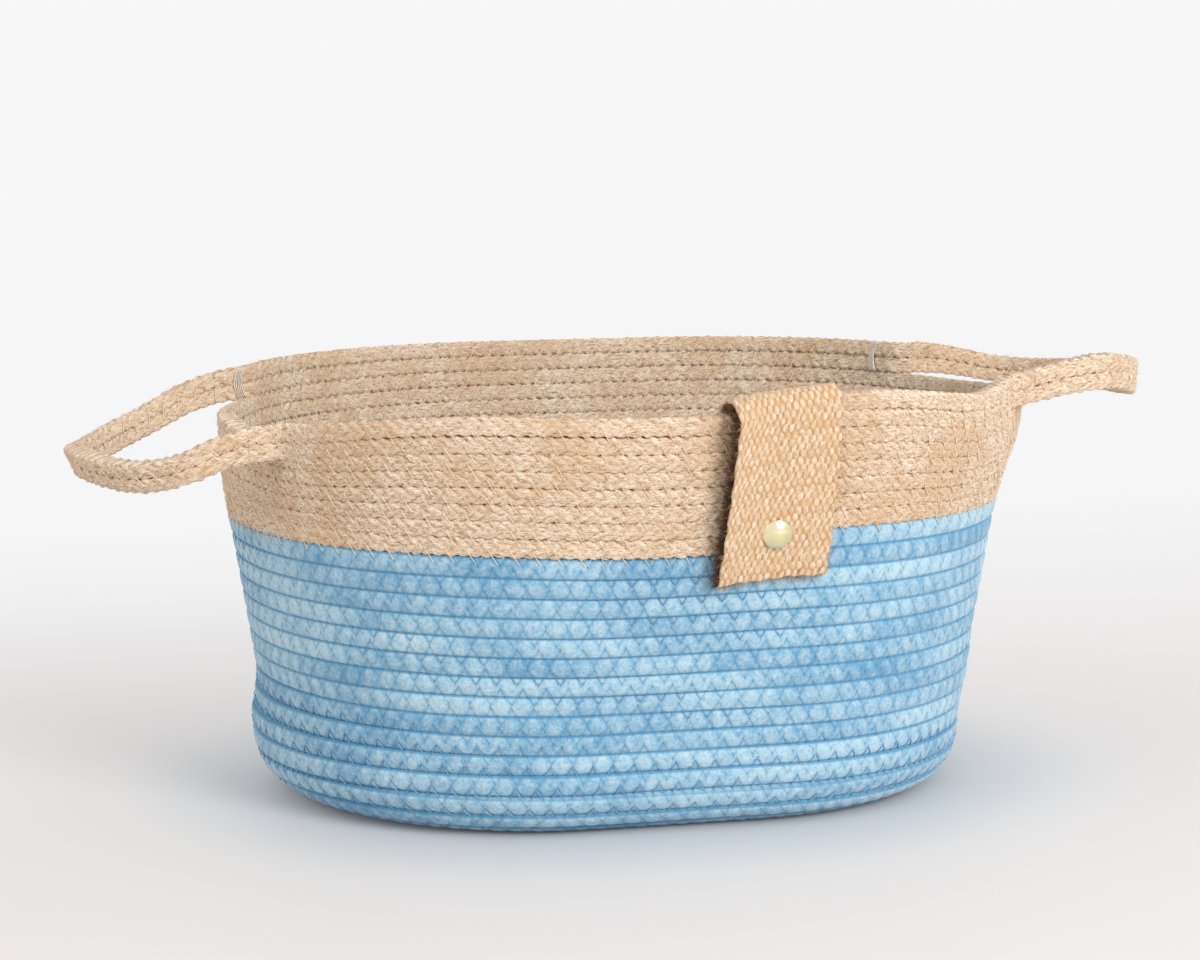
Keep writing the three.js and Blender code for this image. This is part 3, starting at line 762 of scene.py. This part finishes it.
def weave_height(i, j):
    """From 0 between the yarns to 1 on them, at i yarns across and j along: ovals in offset rows."""
    height = np.zeros(i.shape)
    for column in (-1, 0, 1):
        for row in (-1, 0, 1):
            at_i, at_j = np.floor(i) + column, np.floor(j) + row
            shows = (at_i + at_j) % 2 == 0
            off_i = i - at_i - 0.5 - 0.08 * np.sin(at_i * 5.3 + at_j * 2.9)
            off_j = j - at_j - 0.5 - 0.07 * np.sin(at_i * 3.1 + at_j * 4.7)
            reach = (off_i / OVAL_WIDE) ** 2 + (off_j / OVAL_LONG) ** 2
            size = 1 + 0.16 * np.sin(at_i * 2.1 + at_j * 3.7)
            height = np.maximum(height, np.where(shows, size * np.sqrt(np.clip(1 - reach, 0, 1)), 0))
    return height


def tag_place(w, l, off):
    """A point of the tag: w across it, l along it from the front foot, and off its middle face."""
    turned = np.clip((l - TAG_STRAIGHT) / TAG_MIDDLE, 0, math.pi)
    along = TAG_FOOT + np.minimum(l, TAG_STRAIGHT) + TAG_MIDDLE * np.sin(turned) \
        - np.maximum(0, l - TAG_STRAIGHT - math.pi * TAG_MIDDLE)
    rise = (along - TAG_FOOT) / TAG_STRAIGHT
    slope = TAG_SLOPE * w * (SLOPE_AT_FOOT + (1 - SLOPE_AT_FOOT) * rise)
    along = along + slope + TAG_PULL * rise + TAG_SHORTER * (1 - rise)
    front = np.clip(1 - (l - TAG_STRAIGHT) / (math.pi * TAG_MIDDLE), 0, 1)
    edge = np.clip((-w / (TAG_WIDTH / 2) - EDGE_FROM) / (1 - EDGE_FROM), 0, 1) ** EDGE_CURVE
    lift = edge * front * (EDGE_LIFT_FOOT + EDGE_LIFT_MORE * np.clip(rise, 0, 1)) * MM
    drawn_in = TAG_DRAWN_IN * np.clip(w / TAG_WIDTH + 0.5, 0, 1) * np.clip(rise, 0, 1) ** 2
    x = TAG_X + w + (along - JUTE_START) * TAG_LEAN - drawn_in - TAG_BACK_SHIFT * (1 - front)
    over = np.maximum(0, x - START_HALF)
    out = section_line(np.full_like(along, (TAG_FOOT + TAG_FOLD) / 2))[0]
    place, across, through = station(FRONT + over / out, np.minimum(x, START_HALF), along)
    normal = through * np.cos(turned)[:, None] + across * np.sin(turned)[:, None]
    return place + through * (TAG_MIDDLE * np.cos(turned) + lift)[:, None] + normal * off[:, None]


def tag_face(side):
    """The points of the outer face, side 1, or of the inner one, side -1, with their marks."""
    i, j = np.meshgrid(np.linspace(0, WARPS, tag_columns), np.linspace(0, WEFTS, tag_rows))
    i, j = i.ravel(), j.ravel()
    height = weave_height(i if side > 0 else i + 1, j)
    across = (i / WARPS - 0.5) * TAG_WIDTH
    across = across + 0.22 * MM * np.sin(j * 1.7 + 0.4 * np.sin(j * 0.9)) + 0.12 * MM * np.sin(i * 2.1)
    lengthwise = j / WEFTS * TAG_LENGTH + 0.25 * MM * np.sin(i * 1.3 + 0.5) + 0.3 * MM * np.sin(i * 0.37)
    return tag_place(across, lengthwise, side * (HALF_SHEET + RELIEF * height)), np.stack([i, j, height], 1)


tag_columns, tag_rows = WARPS * WARP_SAMPLES + 1, WEFTS * WEFT_SAMPLES + 1
tag_points, tag_marks = (np.concatenate(both) for both in zip(tag_face(1), tag_face(-1)))
grid = np.arange(tag_columns * tag_rows).reshape(tag_rows, tag_columns)
sheet_quads = np.stack([grid[:-1, :-1], grid[:-1, 1:], grid[1:, 1:], grid[1:, :-1]], -1).reshape(-1, 4)
rim_loop = np.concatenate([grid[0, :-1], grid[:-1, -1], grid[-1, :0:-1], grid[:0:-1, 0]])
next_loop = np.roll(rim_loop, -1)
edge_quads = np.stack([next_loop, rim_loop, rim_loop + grid.size, next_loop + grid.size], 1)
tag_quads = np.concatenate([sheet_quads, sheet_quads[:, ::-1] + grid.size, edge_quads])
if inside_out(tag_points, tag_quads):
    tag_quads = tag_quads[:, ::-1]
tag = mesh_object("tag_webbing", tag_points, tag_quads.tolist(), tag_marks)

# %% [markdown]
# ## Frayed edges
# The webbing is cut and not hemmed, so the ends of its yarns stand out along all its edges. More of them
# hang behind its left edge, which stands off the wall, and their dark brown is painted shade for the gap
# there.

# %% Frayed edges of the tag
FRAY_COUNT, UNDER_COUNT = 900, 3600
FRAY_STEP, FRAY_LEVEL, UNDER_DEPTH = 0.5 * MM, 0.3 * MM, -1.1 * MM


def edge_fray(seed, count):
    """Roots on the four edges, with the ways out of the edge and off the sheet."""
    chance = np.random.default_rng(seed)
    edge = chance.integers(0, 4, count)
    spot = chance.uniform(0, 1, count)
    w = np.select([edge == 0, edge == 1], [-0.5, 0.5], spot - 0.5) * TAG_WIDTH
    l = np.select([edge == 2, edge == 3], [0.0, 1.0], spot) * TAG_LENGTH
    level = np.full(count, FRAY_LEVEL)
    here = tag_place(w, l, level)
    inward_w = np.where(edge < 2, -np.sign(w) * FRAY_STEP, 0)
    inward_l = np.select([edge == 2, edge == 3], [FRAY_STEP, -FRAY_STEP], 0.0)
    inside = tag_place(w + inward_w, l + inward_l, level)
    return inside, unit(here - inside), unit(tag_place(w, l, level + MM) - here)


tag_fray = fibres_object("tag_fray", *edge_fray(71, FRAY_COUNT), 72, (1.0, 3.6), (-0.4, 0.4), 0.1)
at_left = np.random.default_rng(75).uniform(0, TAG_STRAIGHT + 2.4 * TAG_MIDDLE, UNDER_COUNT)
left_w = np.random.default_rng(74).uniform(0.2, 2.0, UNDER_COUNT) * MM - TAG_WIDTH / 2
depth = np.full(UNDER_COUNT, UNDER_DEPTH)
left_edge = tag_place(left_w, at_left, depth)
left_out = unit(tag_place(left_w - FRAY_STEP, at_left, depth) - left_edge)
left_normal = unit(tag_place(left_w, at_left, np.zeros(UNDER_COUNT)) - left_edge)
# A dense fringe of near black-brown fibres in the gap behind the left edge: painted shade, darker than the
# yarn.
tag_shade_fray = fibres_object("tag_shade_fray", left_edge, left_out, left_normal, 76,
                               (1.8, 4.2), (-1.4, 0.0), 0.13)

# %% [markdown]
# ## The rivet
# A brass rivet holds the tag, with a cap of 10 mm, a stem through the wall and a disc behind it. The cap is
# modelled by hand: a short cylinder whose top is inset and raised again and again until it is a low dome,
# with a rolled edge. All is made lying flat and then stood on the wall.

# %% Rivet cap
RIVET_RADIUS, RIVET_DOME, RIVET_RIM = 5 * MM, 2.6 * MM, 0.7 * MM
CAP_SEAT = TAG_MIDDLE + TAG_THICKNESS / 2 + 0.3 * MM
DOME_STEPS, ROLLED_EDGE, SHARP = 8, 0.22 * MM, math.radians(40)
STEM_RADIUS, STEM_TIP = 1.5 * MM, 0.9 * MM
DISC_RADIUS, DISC_THICKNESS, DISC_EDGE = 4.5 * MM, 1.2 * MM, 0.35 * MM


def cylinder(vertices, radius, depth, middle):
    bpy.ops.object.select_all(action="DESELECT")
    bpy.ops.mesh.primitive_cylinder_add(vertices=vertices, radius=radius, depth=depth,
                                        location=(0, 0, middle))
    return bpy.context.object


def stand_on_wall(piece, name):
    bpy.ops.object.shade_smooth_by_angle(angle=SHARP)
    piece.name = piece.data.name = name
    place, _, through = station(np.array([FRONT]), np.array([TAG_X]), np.array([JUTE_START + ROPE_PITCH / 2]))
    out = Vector(through[0])
    stand_up = Vector((0, 0, 1)).rotation_difference(out).to_matrix().to_4x4()
    piece.data.transform(Matrix.Translation(Vector(place[0]) + out * CAP_SEAT) @ stand_up)
    print(name, len(piece.data.polygons), "faces")


def dome_height(radius):
    ball = (RIVET_RADIUS ** 2 + (RIVET_DOME - RIVET_RIM) ** 2) / (2 * (RIVET_DOME - RIVET_RIM))
    return math.sqrt(ball ** 2 - radius ** 2) - math.sqrt(ball ** 2 - RIVET_RADIUS ** 2)


def on_outer_edge(edge):
    low, high = edge.verts
    on_rim = all(abs(vert.co.xy.length - RIVET_RADIUS) < 0.05 * MM for vert in (low, high))
    return on_rim and abs(low.co.z - high.co.z) < 0.01 * MM


rivet = cylinder(64, RIVET_RADIUS, RIVET_RIM, RIVET_RIM / 2)
bpy.ops.object.mode_set(mode="EDIT")
bpy.ops.mesh.select_all(action="DESELECT")
edit = bmesh.from_edit_mesh(rivet.data)
for face in edit.faces:
    face.select = face.normal.z > 0.9
bmesh.update_edit_mesh(rivet.data)
radius = RIVET_RADIUS
for step in range(1, DOME_STEPS):
    smaller = RIVET_RADIUS * math.cos(math.pi / 2 * step / DOME_STEPS)
    bpy.ops.mesh.inset(thickness=radius - smaller)
    bpy.ops.transform.translate(value=(0, 0, dome_height(smaller) - dome_height(radius)))
    radius = smaller
bpy.ops.mesh.select_all(action="DESELECT")
edit = bmesh.from_edit_mesh(rivet.data)
for edge in edit.edges:
    edge.select = on_outer_edge(edge)
bmesh.update_edit_mesh(rivet.data)
bpy.ops.mesh.bevel(offset=ROLLED_EDGE, segments=3, affect="EDGES")
bpy.ops.object.mode_set(mode="OBJECT")
stand_on_wall(rivet, "rivet_dome")

# %% Rivet stem and its disc at the back
rivet_stem = cylinder(32, STEM_RADIUS, 2 * CAP_SEAT + STEM_TIP, STEM_TIP / 2 - CAP_SEAT)
bpy.ops.object.transform_apply(location=True, rotation=False, scale=False)
cylinder(64, DISC_RADIUS, DISC_THICKNESS, -2 * CAP_SEAT - DISC_THICKNESS / 2)
bpy.ops.object.transform_apply(location=True, rotation=False, scale=False)
bpy.ops.object.mode_set(mode="EDIT")
bpy.ops.mesh.select_all(action="SELECT")
bpy.ops.mesh.bevel(offset=DISC_EDGE, segments=3, affect="EDGES")
bpy.ops.object.mode_set(mode="OBJECT")
rivet_stem.select_set(True)
bpy.context.view_layer.objects.active = rivet_stem
bpy.ops.object.join()
stand_on_wall(rivet_stem, "rivet_stem")

# %% [markdown]
# ## Bar tacks
# Where the strip leaves the wall its seam takes the load when the basket is lifted, so a bar tack closes it:
# a pale thread laid up and down the strip a few times, on the inside.

# %% Bar tacks
TACK_STRANDS, TACK_POINTS, TACK_RADIUS, TACK_SPACING = 5, 11, 0.3 * MM, 0.5 * MM
TACK_HALF, TACK_DEPTH, TACK_SWAY = 5.7 * MM, 3.25 * MM, 1.6 * MM
TACK_OFFSETS = [-10 * MM, 10 * MM, -20 * MM, 12 * MM]


def tack_tubes(at):
    share = np.linspace(-1, 1, TACK_POINTS)
    for strand_number in range(TACK_STRANDS):
        middle = at + (strand_number - TACK_STRANDS // 2) * TACK_SPACING
        place, across, through = seam_at(np.full(TACK_POINTS, middle))
        side = unit(np.cross(across, through))
        sway = side * (TACK_SWAY * (1 - share ** 2))[:, None]
        line = place + across * (share * TACK_HALF)[:, None] - through * TACK_DEPTH + sway
        yield strand(line, side, -through, TACK_RADIUS)


tack_spots = [seam_length[cut] + offset for cut, offset in zip(seam_cuts[1:-1], TACK_OFFSETS)]
bar_tacks = tubes_object("bar_tacks", [tube for at in tack_spots for tube in tack_tubes(at)])

# %% [markdown]
# ## Writing materials as sums
# A material is a small calculation: so much of this colour, darker in the grooves, with a little chance. A
# wire stands for a value in it and can be added and multiplied as a number can, and each sum makes its node.

# %% Wires and shaders
def calculation(operation, swapped=False):
    """A method that makes the node of one operation on a wire, or on a wire and another value."""

    def method(wire, *others):
        values = (*others, wire) if swapped else (wire, *others)
        return wire.shader.node("ShaderNodeMath", dict(enumerate(values)), operation=operation)
    return method


class Wire:
    """An output of a node, usable in a Python expression."""

    def __init__(self, shader, socket):
        self.shader, self.socket = shader, socket

    __add__ = __radd__ = calculation("ADD")
    __sub__, __rsub__ = calculation("SUBTRACT"), calculation("SUBTRACT", swapped=True)
    __mul__ = __rmul__ = calculation("MULTIPLY")
    __truediv__, __pow__, __abs__ = calculation("DIVIDE"), calculation("POWER"), calculation("ABSOLUTE")
    at_least, at_most, is_less = calculation("MAXIMUM"), calculation("MINIMUM"), calculation("LESS_THAN")
    fraction, to_and_fro = calculation("FRACT"), calculation("PINGPONG")

    def step(self, low, high):
        """From 0 to 1 as this value goes from low to high."""
        return self.shader.node("ShaderNodeMapRange", {0: self, 1: low, 2: high, 3: 0.0, 4: 1.0},
                                interpolation_type="SMOOTHSTEP")

    def parts(self):
        return [self.shader.node("ShaderNodeSeparateXYZ", {0: self}, k) for k in range(3)]


class Shader:
    """The nodes of a material or of the room, all made through one method."""

    def __init__(self, owner):
        owner.use_nodes = True
        self.owner, self.tree = owner, owner.node_tree

    def node(self, kind, sockets, output=0, **settings):
        made = self.tree.nodes.new(kind)
        for key, value in settings.items():
            setattr(made, key, value)
        for key, value in sockets.items():
            if isinstance(value, Wire):
                self.tree.links.new(value.socket, made.inputs[key])
            else:
                made.inputs[key].default_value = value
        return Wire(self, made.outputs[output])

    def feed(self, socket, wire, node="Principled BSDF"):
        self.tree.links.new(wire.socket, self.tree.nodes[node].inputs[socket])

    def relief(self, height, distance, strength=1.0):
        self.feed("Normal", self.node("ShaderNodeBump", {"Strength": strength, "Distance": distance,
                                                         "Height": height}))

    def here(self):
        return self.node("ShaderNodeTexCoord", {}, 3)

    def mark(self, name, output=1):
        return self.node("ShaderNodeAttribute", {}, output, attribute_name=name)

    def noise(self, place, scale=1.0, detail=2.0, roughness=0.5):
        """Chance that changes from place to place. place is a wire, or a tuple that is made into one."""
        if isinstance(place, tuple):
            place = self.node("ShaderNodeCombineXYZ", dict(enumerate(place)))
        return self.node("ShaderNodeTexNoise", {"Vector": place, "Scale": scale, "Detail": detail,
                                                "Roughness": roughness})

    def seen(self):
        """1 where the camera looks, straight or by a mirror, and 0 for the light that things receive."""
        return self.node("ShaderNodeLightPath", {}, 0).at_least(self.node("ShaderNodeLightPath", {}, 3))

    def swap_in(self, share, usual, other, outlet):
        self.feed("Surface", self.node("ShaderNodeMixShader", {0: share, 1: usual, 2: other}), outlet)


def new_finish(name, roughness, sheen=0.0, metallic=0.0):
    shader = Shader(bpy.data.materials.new(name))
    surface = {"Roughness": roughness, "Sheen Weight": sheen, "Sheen Roughness": 0.5, "Metallic": metallic,
               "Specular IOR Level": 0.5 if metallic else 0.2}
    for socket, value in surface.items():
        shader.tree.nodes["Principled BSDF"].inputs[socket].default_value = value
    return shader


def dye(*screen):
    """A colour given as it looks on a screen, from 0 to 255, turned into the values that a shader wants."""
    shares = [value / 255 for value in screen]
    return (*[v / 12.92 if v <= 0.04045 else ((v + 0.055) / 1.055) ** 2.4 for v in shares], 1.0)


def mix(share, first, second):
    """Colour from first to second."""
    return share.shader.node("ShaderNodeMix", {0: share, 6: first, 7: second}, 2, data_type="RGBA")


def over(value, low, high, amount):
    """The share of a colour that lies where a value is high."""
    return value.step(low, high) * amount


def under(value, low, high, amount=1.0):
    """The share of a colour that lies where a value is low."""
    return (1 - value.step(low, high)) * amount


def laid_on(colour, *layers):
    """Colours laid on a first one, each with its share."""
    for share, *screen in layers:
        colour = mix(share, colour, dye(*screen))
    return colour


# %% [markdown]
# ## Blue rope finish
# The rope was dyed by hand, so its blue comes and goes in streaks of a few centimetres. They are noise read
# along the rope alone, which makes each just a course tall. Pale speckle lies on it, a little more in the
# middles of the pillows. Painted shade darkens the grooves, the dents along the zigzag legs, the needle holes
# and the bottom few millimetres, where the rope meets the floor, and a fine braid shows as relief.

# %% Blue rope finish
def blue_finish():
    shader = new_finish("blue_rope_finish", 0.92, sheen=0.25)
    here = shader.here()
    length, across, above = shader.mark("lay").parts()
    waves_of = [(stitch / STITCH).to_and_fro(0.5) * 4 - 1 for stitch in (above, shader.mark("below", 2))]
    reach_of = [wave.at_least(0.0) * THREAD_UP + wave.at_most(0.0) * THREAD_DOWN for wave in waves_of]
    near = [abs(across - (ROPE_PITCH / 2 + reach_of[0])) * 0.5,
            abs(across + ROPE_PITCH / 2 - reach_of[1]) * 0.5]
    pillow = near[0].step(0.2 * MM, 1.5 * MM) * near[1].step(0.2 * MM, 1.5 * MM)
    leg = 1 - near[0].step(0.0, 0.4 * MM) * near[1].step(0.0, 0.4 * MM)
    holes = [under(n, 0.1 * MM, 0.5 * MM) * abs(wave).step(0.75, 0.95) for n, wave in zip(near, waves_of)]
    long_streaks = shader.noise((length * 9, 3.5, 0.5), 1.0, 1.0)
    streaks = shader.noise((length * 30, 0.5, 0.5), 1.0, 3.0, 0.6)
    fluff = shader.noise(here, 900.0, 3.0, 0.7)
    clumps = shader.noise(here, 330.0, 2.0, 0.6)
    wash = streaks * 0.42 + long_streaks * 0.33 + shader.noise(here, 26.0, 3.0, 0.55) * 0.25
    shader.feed("Base Color", laid_on(
        mix(wash.step(0.38, 0.6), dye(92, 150, 186), dye(142, 188, 211)),
        (over(fluff * 0.5 + clumps * 0.4 + wash * 0.6 + pillow * 0.1, 0.6, 1.15, 0.8), 208, 225, 231),
        (under(fluff, 0.3, 0.5, 0.3), 92, 150, 190),
        # Painted shade: darker blue along the dents of the zigzag legs, in the needle holes and in the grooves
        # between courses.
        (leg * 0.12, 84, 144, 196),
        ((holes[0] + holes[1]) * 0.4, 50, 104, 160),
        (over(abs(across), 2.75 * MM, 3.3 * MM, 0.7), 64, 140, 182),
        # Painted shade: the lowest 2.6 mm of the rope is darkened to deep navy, as the shade where it meets
        # the floor.
        (under(here.parts()[2], 0.3 * MM, 2.6 * MM, 0.85), 42, 78, 122)))
    braid = shader.noise((length * 900, across * 500, 0.0), 1.0, 2.0, 0.6)
    shader.relief(braid * 0.4 + fluff * 0.8 + clumps * 0.5 - leg * 0.4, 0.4 * MM)
    return shader.owner


# %% [markdown]
# ## Jute finish
# Jute is never one colour: each yarn runs from straw to tan, with pale fibres along it. The noise is drawn
# out along the strands, which slant as the grains do. The dips between grains and the edges of the cord,
# toward the grooves, are darker and browner: painted shade, mixed with the chance of the yarns.

# %% Jute finish
def jute_finish():
    shader = new_finish("jute_cord_finish", 0.85, sheen=0.15)
    run, share, height = shader.mark("lay").parts()
    slanted = run - abs(share) * (GRAIN_SLANT * CORD_PITCH / 2)
    dome = 1 - abs((slanted / GRAIN + share.is_less(0.0) * 0.5).fraction() * 2 - 1) ** 2
    yarns = shader.noise((slanted * 300, share * 2.5, run * 60), 1.0, 3.0, 0.6)
    fibres = shader.noise((slanted * 900, share * 9, run * 260), 1.0, 3.0, 0.7)
    hay = shader.noise((run * 380, share * 5, height * 1.5), 1.0, 2.0, 0.6)
    blots = shader.noise(shader.here(), 30.0, 4.0, 0.7)
    # Painted shade and yarn tone: dips is low between the grains and at the cord's edges, and the colour
    # darkens there.
    dips = dome + hay * 1.2 + yarns * 0.4 - over(abs(share), 0.8, 1.0, 0.3)
    shader.feed("Base Color", laid_on(
        mix(yarns.step(0.3, 0.7), dye(210, 180, 148), dye(238, 216, 190)),
        (over(fibres, 0.5, 0.68, 0.8), 255, 244, 226),
        (under(fibres, 0.3, 0.46, 0.6), 170, 130, 92),
        (under(hay, 0.3, 0.44, 0.75), 146, 106, 70),
        (over(hay, 0.58, 0.7, 0.7), 255, 246, 232),
        (under(blots, 0.38, 0.56, 0.4), 204, 162, 118),
        (under(dips, 0.6, 1.2, 0.6), 158, 116, 78)))
    shader.relief(dome * 0.25 + fibres * 0.6 + yarns * 0.6 + hay * 0.8, 0.5 * MM)
    return shader.owner


# %% [markdown]
# ## Thread, webbing and brass finishes
# Thread is nearly smooth, so it has only a fine twist. The webbing is darker between its yarns, as painted
# shade. Brass is a bright metal with faint brushing and some wear in its roughness.

# %% Other finishes
def thread_finish(name, pale, dark):
    shader = new_finish(name, 0.7, sheen=0.1)
    here = shader.here()
    shader.feed("Base Color", mix(shader.noise(here, 420.0).step(0.3, 0.7), dye(*dark), dye(*pale)))
    shader.relief(shader.noise(here, 2600.0, 1.0), 0.05 * MM, 0.6)
    return shader.owner


def webbing_finish():
    shader = new_finish("webbing_finish", 0.85, sheen=0.15)
    across, along, height = shader.mark("lay").parts()
    fibres = shader.noise((across * 5, along * 1.0, 0.0), 1.0, 3.0, 0.65)
    blots = shader.noise((across * 0.2, along * 0.35, 1.0))
    yarns = shader.noise((across * 0.9, along * 0.9, 7.0), 1.0, 1.0)
    shader.feed("Base Color", laid_on(
        # Painted shade: the colour is darker where the weave is low, between the yarns.
        mix(height.step(0.05, 0.75), dye(180, 139, 96), dye(224, 202, 174)),
        (over(fibres, 0.48, 0.7, 0.7), 246, 236, 220),
        (under(fibres, 0.3, 0.5, 0.4), 204, 160, 112),
        (under(yarns, 0.42, 0.56, 0.6), 206, 162, 112),
        (over(blots, 0.45, 0.7, 0.3), 216, 174, 126)))
    shader.relief(fibres, 0.3 * MM, 0.8)
    return shader.owner


def brass_finish():
    shader = new_finish("brass_finish", 0.2, metallic=1.0)
    here = shader.here()
    x, y, z = here.parts()
    wear = shader.noise(here, 160.0)
    shader.feed("Base Color", mix(wear.step(0.3, 0.7), dye(240, 226, 176), dye(250, 242, 208)))
    brushed = shader.noise((x * 300, y * 300, z * 2500))
    shader.feed("Roughness", 0.1 + brushed * 0.1 + over(wear, 0.5, 0.8, 0.05))
    return shader.owner


finishes = {"blue_rope": blue_finish(), "jute_cord": jute_finish(), "jute_webbing": webbing_finish(),
            "rivet_brass": brass_finish()}
# The last colour pair, near black-brown, is painted shade for the fringe behind the tag's left edge.
for name, pale, dark in (
        ("blue_thread", (146, 194, 222), (110, 164, 202)), ("cream_thread", (250, 234, 208), (236, 210, 176)),
        ("white_thread", (248, 238, 226), (234, 222, 208)), ("jute_fibre", (242, 220, 188), (214, 178, 136)),
        ("cut_jute", (222, 174, 122), (158, 106, 62)), ("painted_shade_jute", (124, 82, 46), (66, 40, 20))):
    finishes[name] = thread_finish(f"{name}_finish", pale, dark)
print(len(finishes), "finishes")

# %% [markdown]
# ## Which body each piece rides on
# Everything in the wall rides on the basket. The handle stretches begin a little before their hinge line;
# they ride on no body here, and only their transforms are baked.


def join(piece, slot, finish=None, nodes=(), side=None):
    """Give a piece its finish, the slot's unless another is named, hang it on the basket unless it is a handle
    piece, and hide the nodes that it stands for.
    """
    piece.data.materials.clear()
    piece.data.materials.append(finishes[finish or slot])
    if side is None:
        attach(piece, "basket")
    else:
        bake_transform(piece)
    if nodes:
        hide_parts(*nodes)


for piece, slot, finish, *nodes in (
        (base_rope, "blue_rope", None, "base_coil"), (wall_rope, "blue_rope", None, "wall_coil"),
        (base_thread, "blue_rope", "blue_thread"), (wall_thread, "blue_rope", "blue_thread"),
        (band_cord, "jute_cord", None, "band_coil"), (band_thread, "jute_cord", "cream_thread"),
        (band_fibres, "jute_cord", "jute_fibre"), (bar_tacks, "jute_cord", "white_thread"),
        (tag, "jute_webbing", None, "tag_strap"), (tag_fray, "jute_webbing", "cut_jute"),
        (tag_shade_fray, "jute_webbing", "painted_shade_jute"), (rivet, "rivet_brass", None, "rivet_cap"),
        (rivet_stem, "rivet_brass", None, "rivet_post")):
    join(piece, slot, finish, nodes)
for name in STRIP_PIECES:
    side = name.removeprefix("handle_") if name.startswith("handle_") else None
    for level in ("lower", "upper"):
        join(strip_cords[name, level], "jute_cord", None, [f"{name}_{level}"], side)
    join(strip_threads[name], "jute_cord", "cream_thread", side=side)
    join(strip_fibres[name], "jute_cord", "jute_fibre", side=side)

# %% [markdown]
# ## Floor and light
# A pale table, a white room and two large soft lamps. Round the basket's foot the floor's colour darkens as a
# painted shadow. Behind the basket the floor fades to white for the camera only, so the light that the
# basket receives stays the same.

# %% Floor
FLOOR_HALF = 3.0
FADE_FROM, FADE_TO = -0.2, 0.7
FOOT_RADIUS, PAINTED_SHADOW_WIDTH = 90 * MM, 65 * MM
bpy.ops.object.select_all(action="DESELECT")
bpy.ops.mesh.primitive_plane_add(size=2 * FLOOR_HALF, location=(0, 0, 0))
floor = bpy.context.object
floor.name = "floor"
shader = new_finish("floor_finish", 0.6)
sideways, depth, _ = shader.here().parts()
beyond_run = (abs(sideways) - START_HALF).at_least(0.0)
from_basket = (beyond_run ** 2 + depth ** 2) ** 0.5 - FOOT_RADIUS
# Painted shadow: the floor's colour darkens over the last 65 mm towards the basket's foot.
shader.feed("Base Color", mix(from_basket.step(0.0, PAINTED_SHADOW_WIDTH), dye(208, 210, 213), dye(229, 226, 225)))
glow = shader.node("ShaderNodeEmission", {"Color": dye(246, 246, 247), "Strength": 1.0})
usual = Wire(shader, shader.tree.nodes["Principled BSDF"].outputs[0])
shader.swap_in(depth.step(FADE_FROM, FADE_TO) * shader.seen(), usual, glow, "Material Output")
floor.data.materials.append(shader.owner)

# %% Room and lamps
ROOM_STRENGTH = 0.76
DAYLIGHT, WARM = (1.0, 0.99, 0.985), (1.0, 0.93, 0.84)
bpy.context.scene.world = bpy.data.worlds.new("room")
room_shader = Shader(bpy.context.scene.world)
daylight = room_shader.node("ShaderNodeBackground", {"Color": (*DAYLIGHT, 1.0), "Strength": ROOM_STRENGTH})
backdrop = room_shader.node("ShaderNodeBackground", {"Color": dye(247, 247, 248)})
room_shader.swap_in(room_shader.seen(), daylight, backdrop, "World Output")


def lamp(name, place, target, size, power, colour):
    light = bpy.data.lights.new(name, "AREA")
    light.shape, light.size, light.energy, light.color = "DISK", size, power, colour
    made = new_object(name, light)
    made.location = place
    made.rotation_euler = (Vector(target) - Vector(place)).to_track_quat("-Z", "Y").to_euler()


lamp("window", (0.95, -1.8, 1.05), (0, 0, 0.05), 1.2, 30, DAYLIGHT)
lamp("fill", (-1.7, -0.9, 1.2), (0, 0, 0.08), 1.4, 6.5, WARM)
bpy.context.scene.view_settings.view_transform = "Standard"
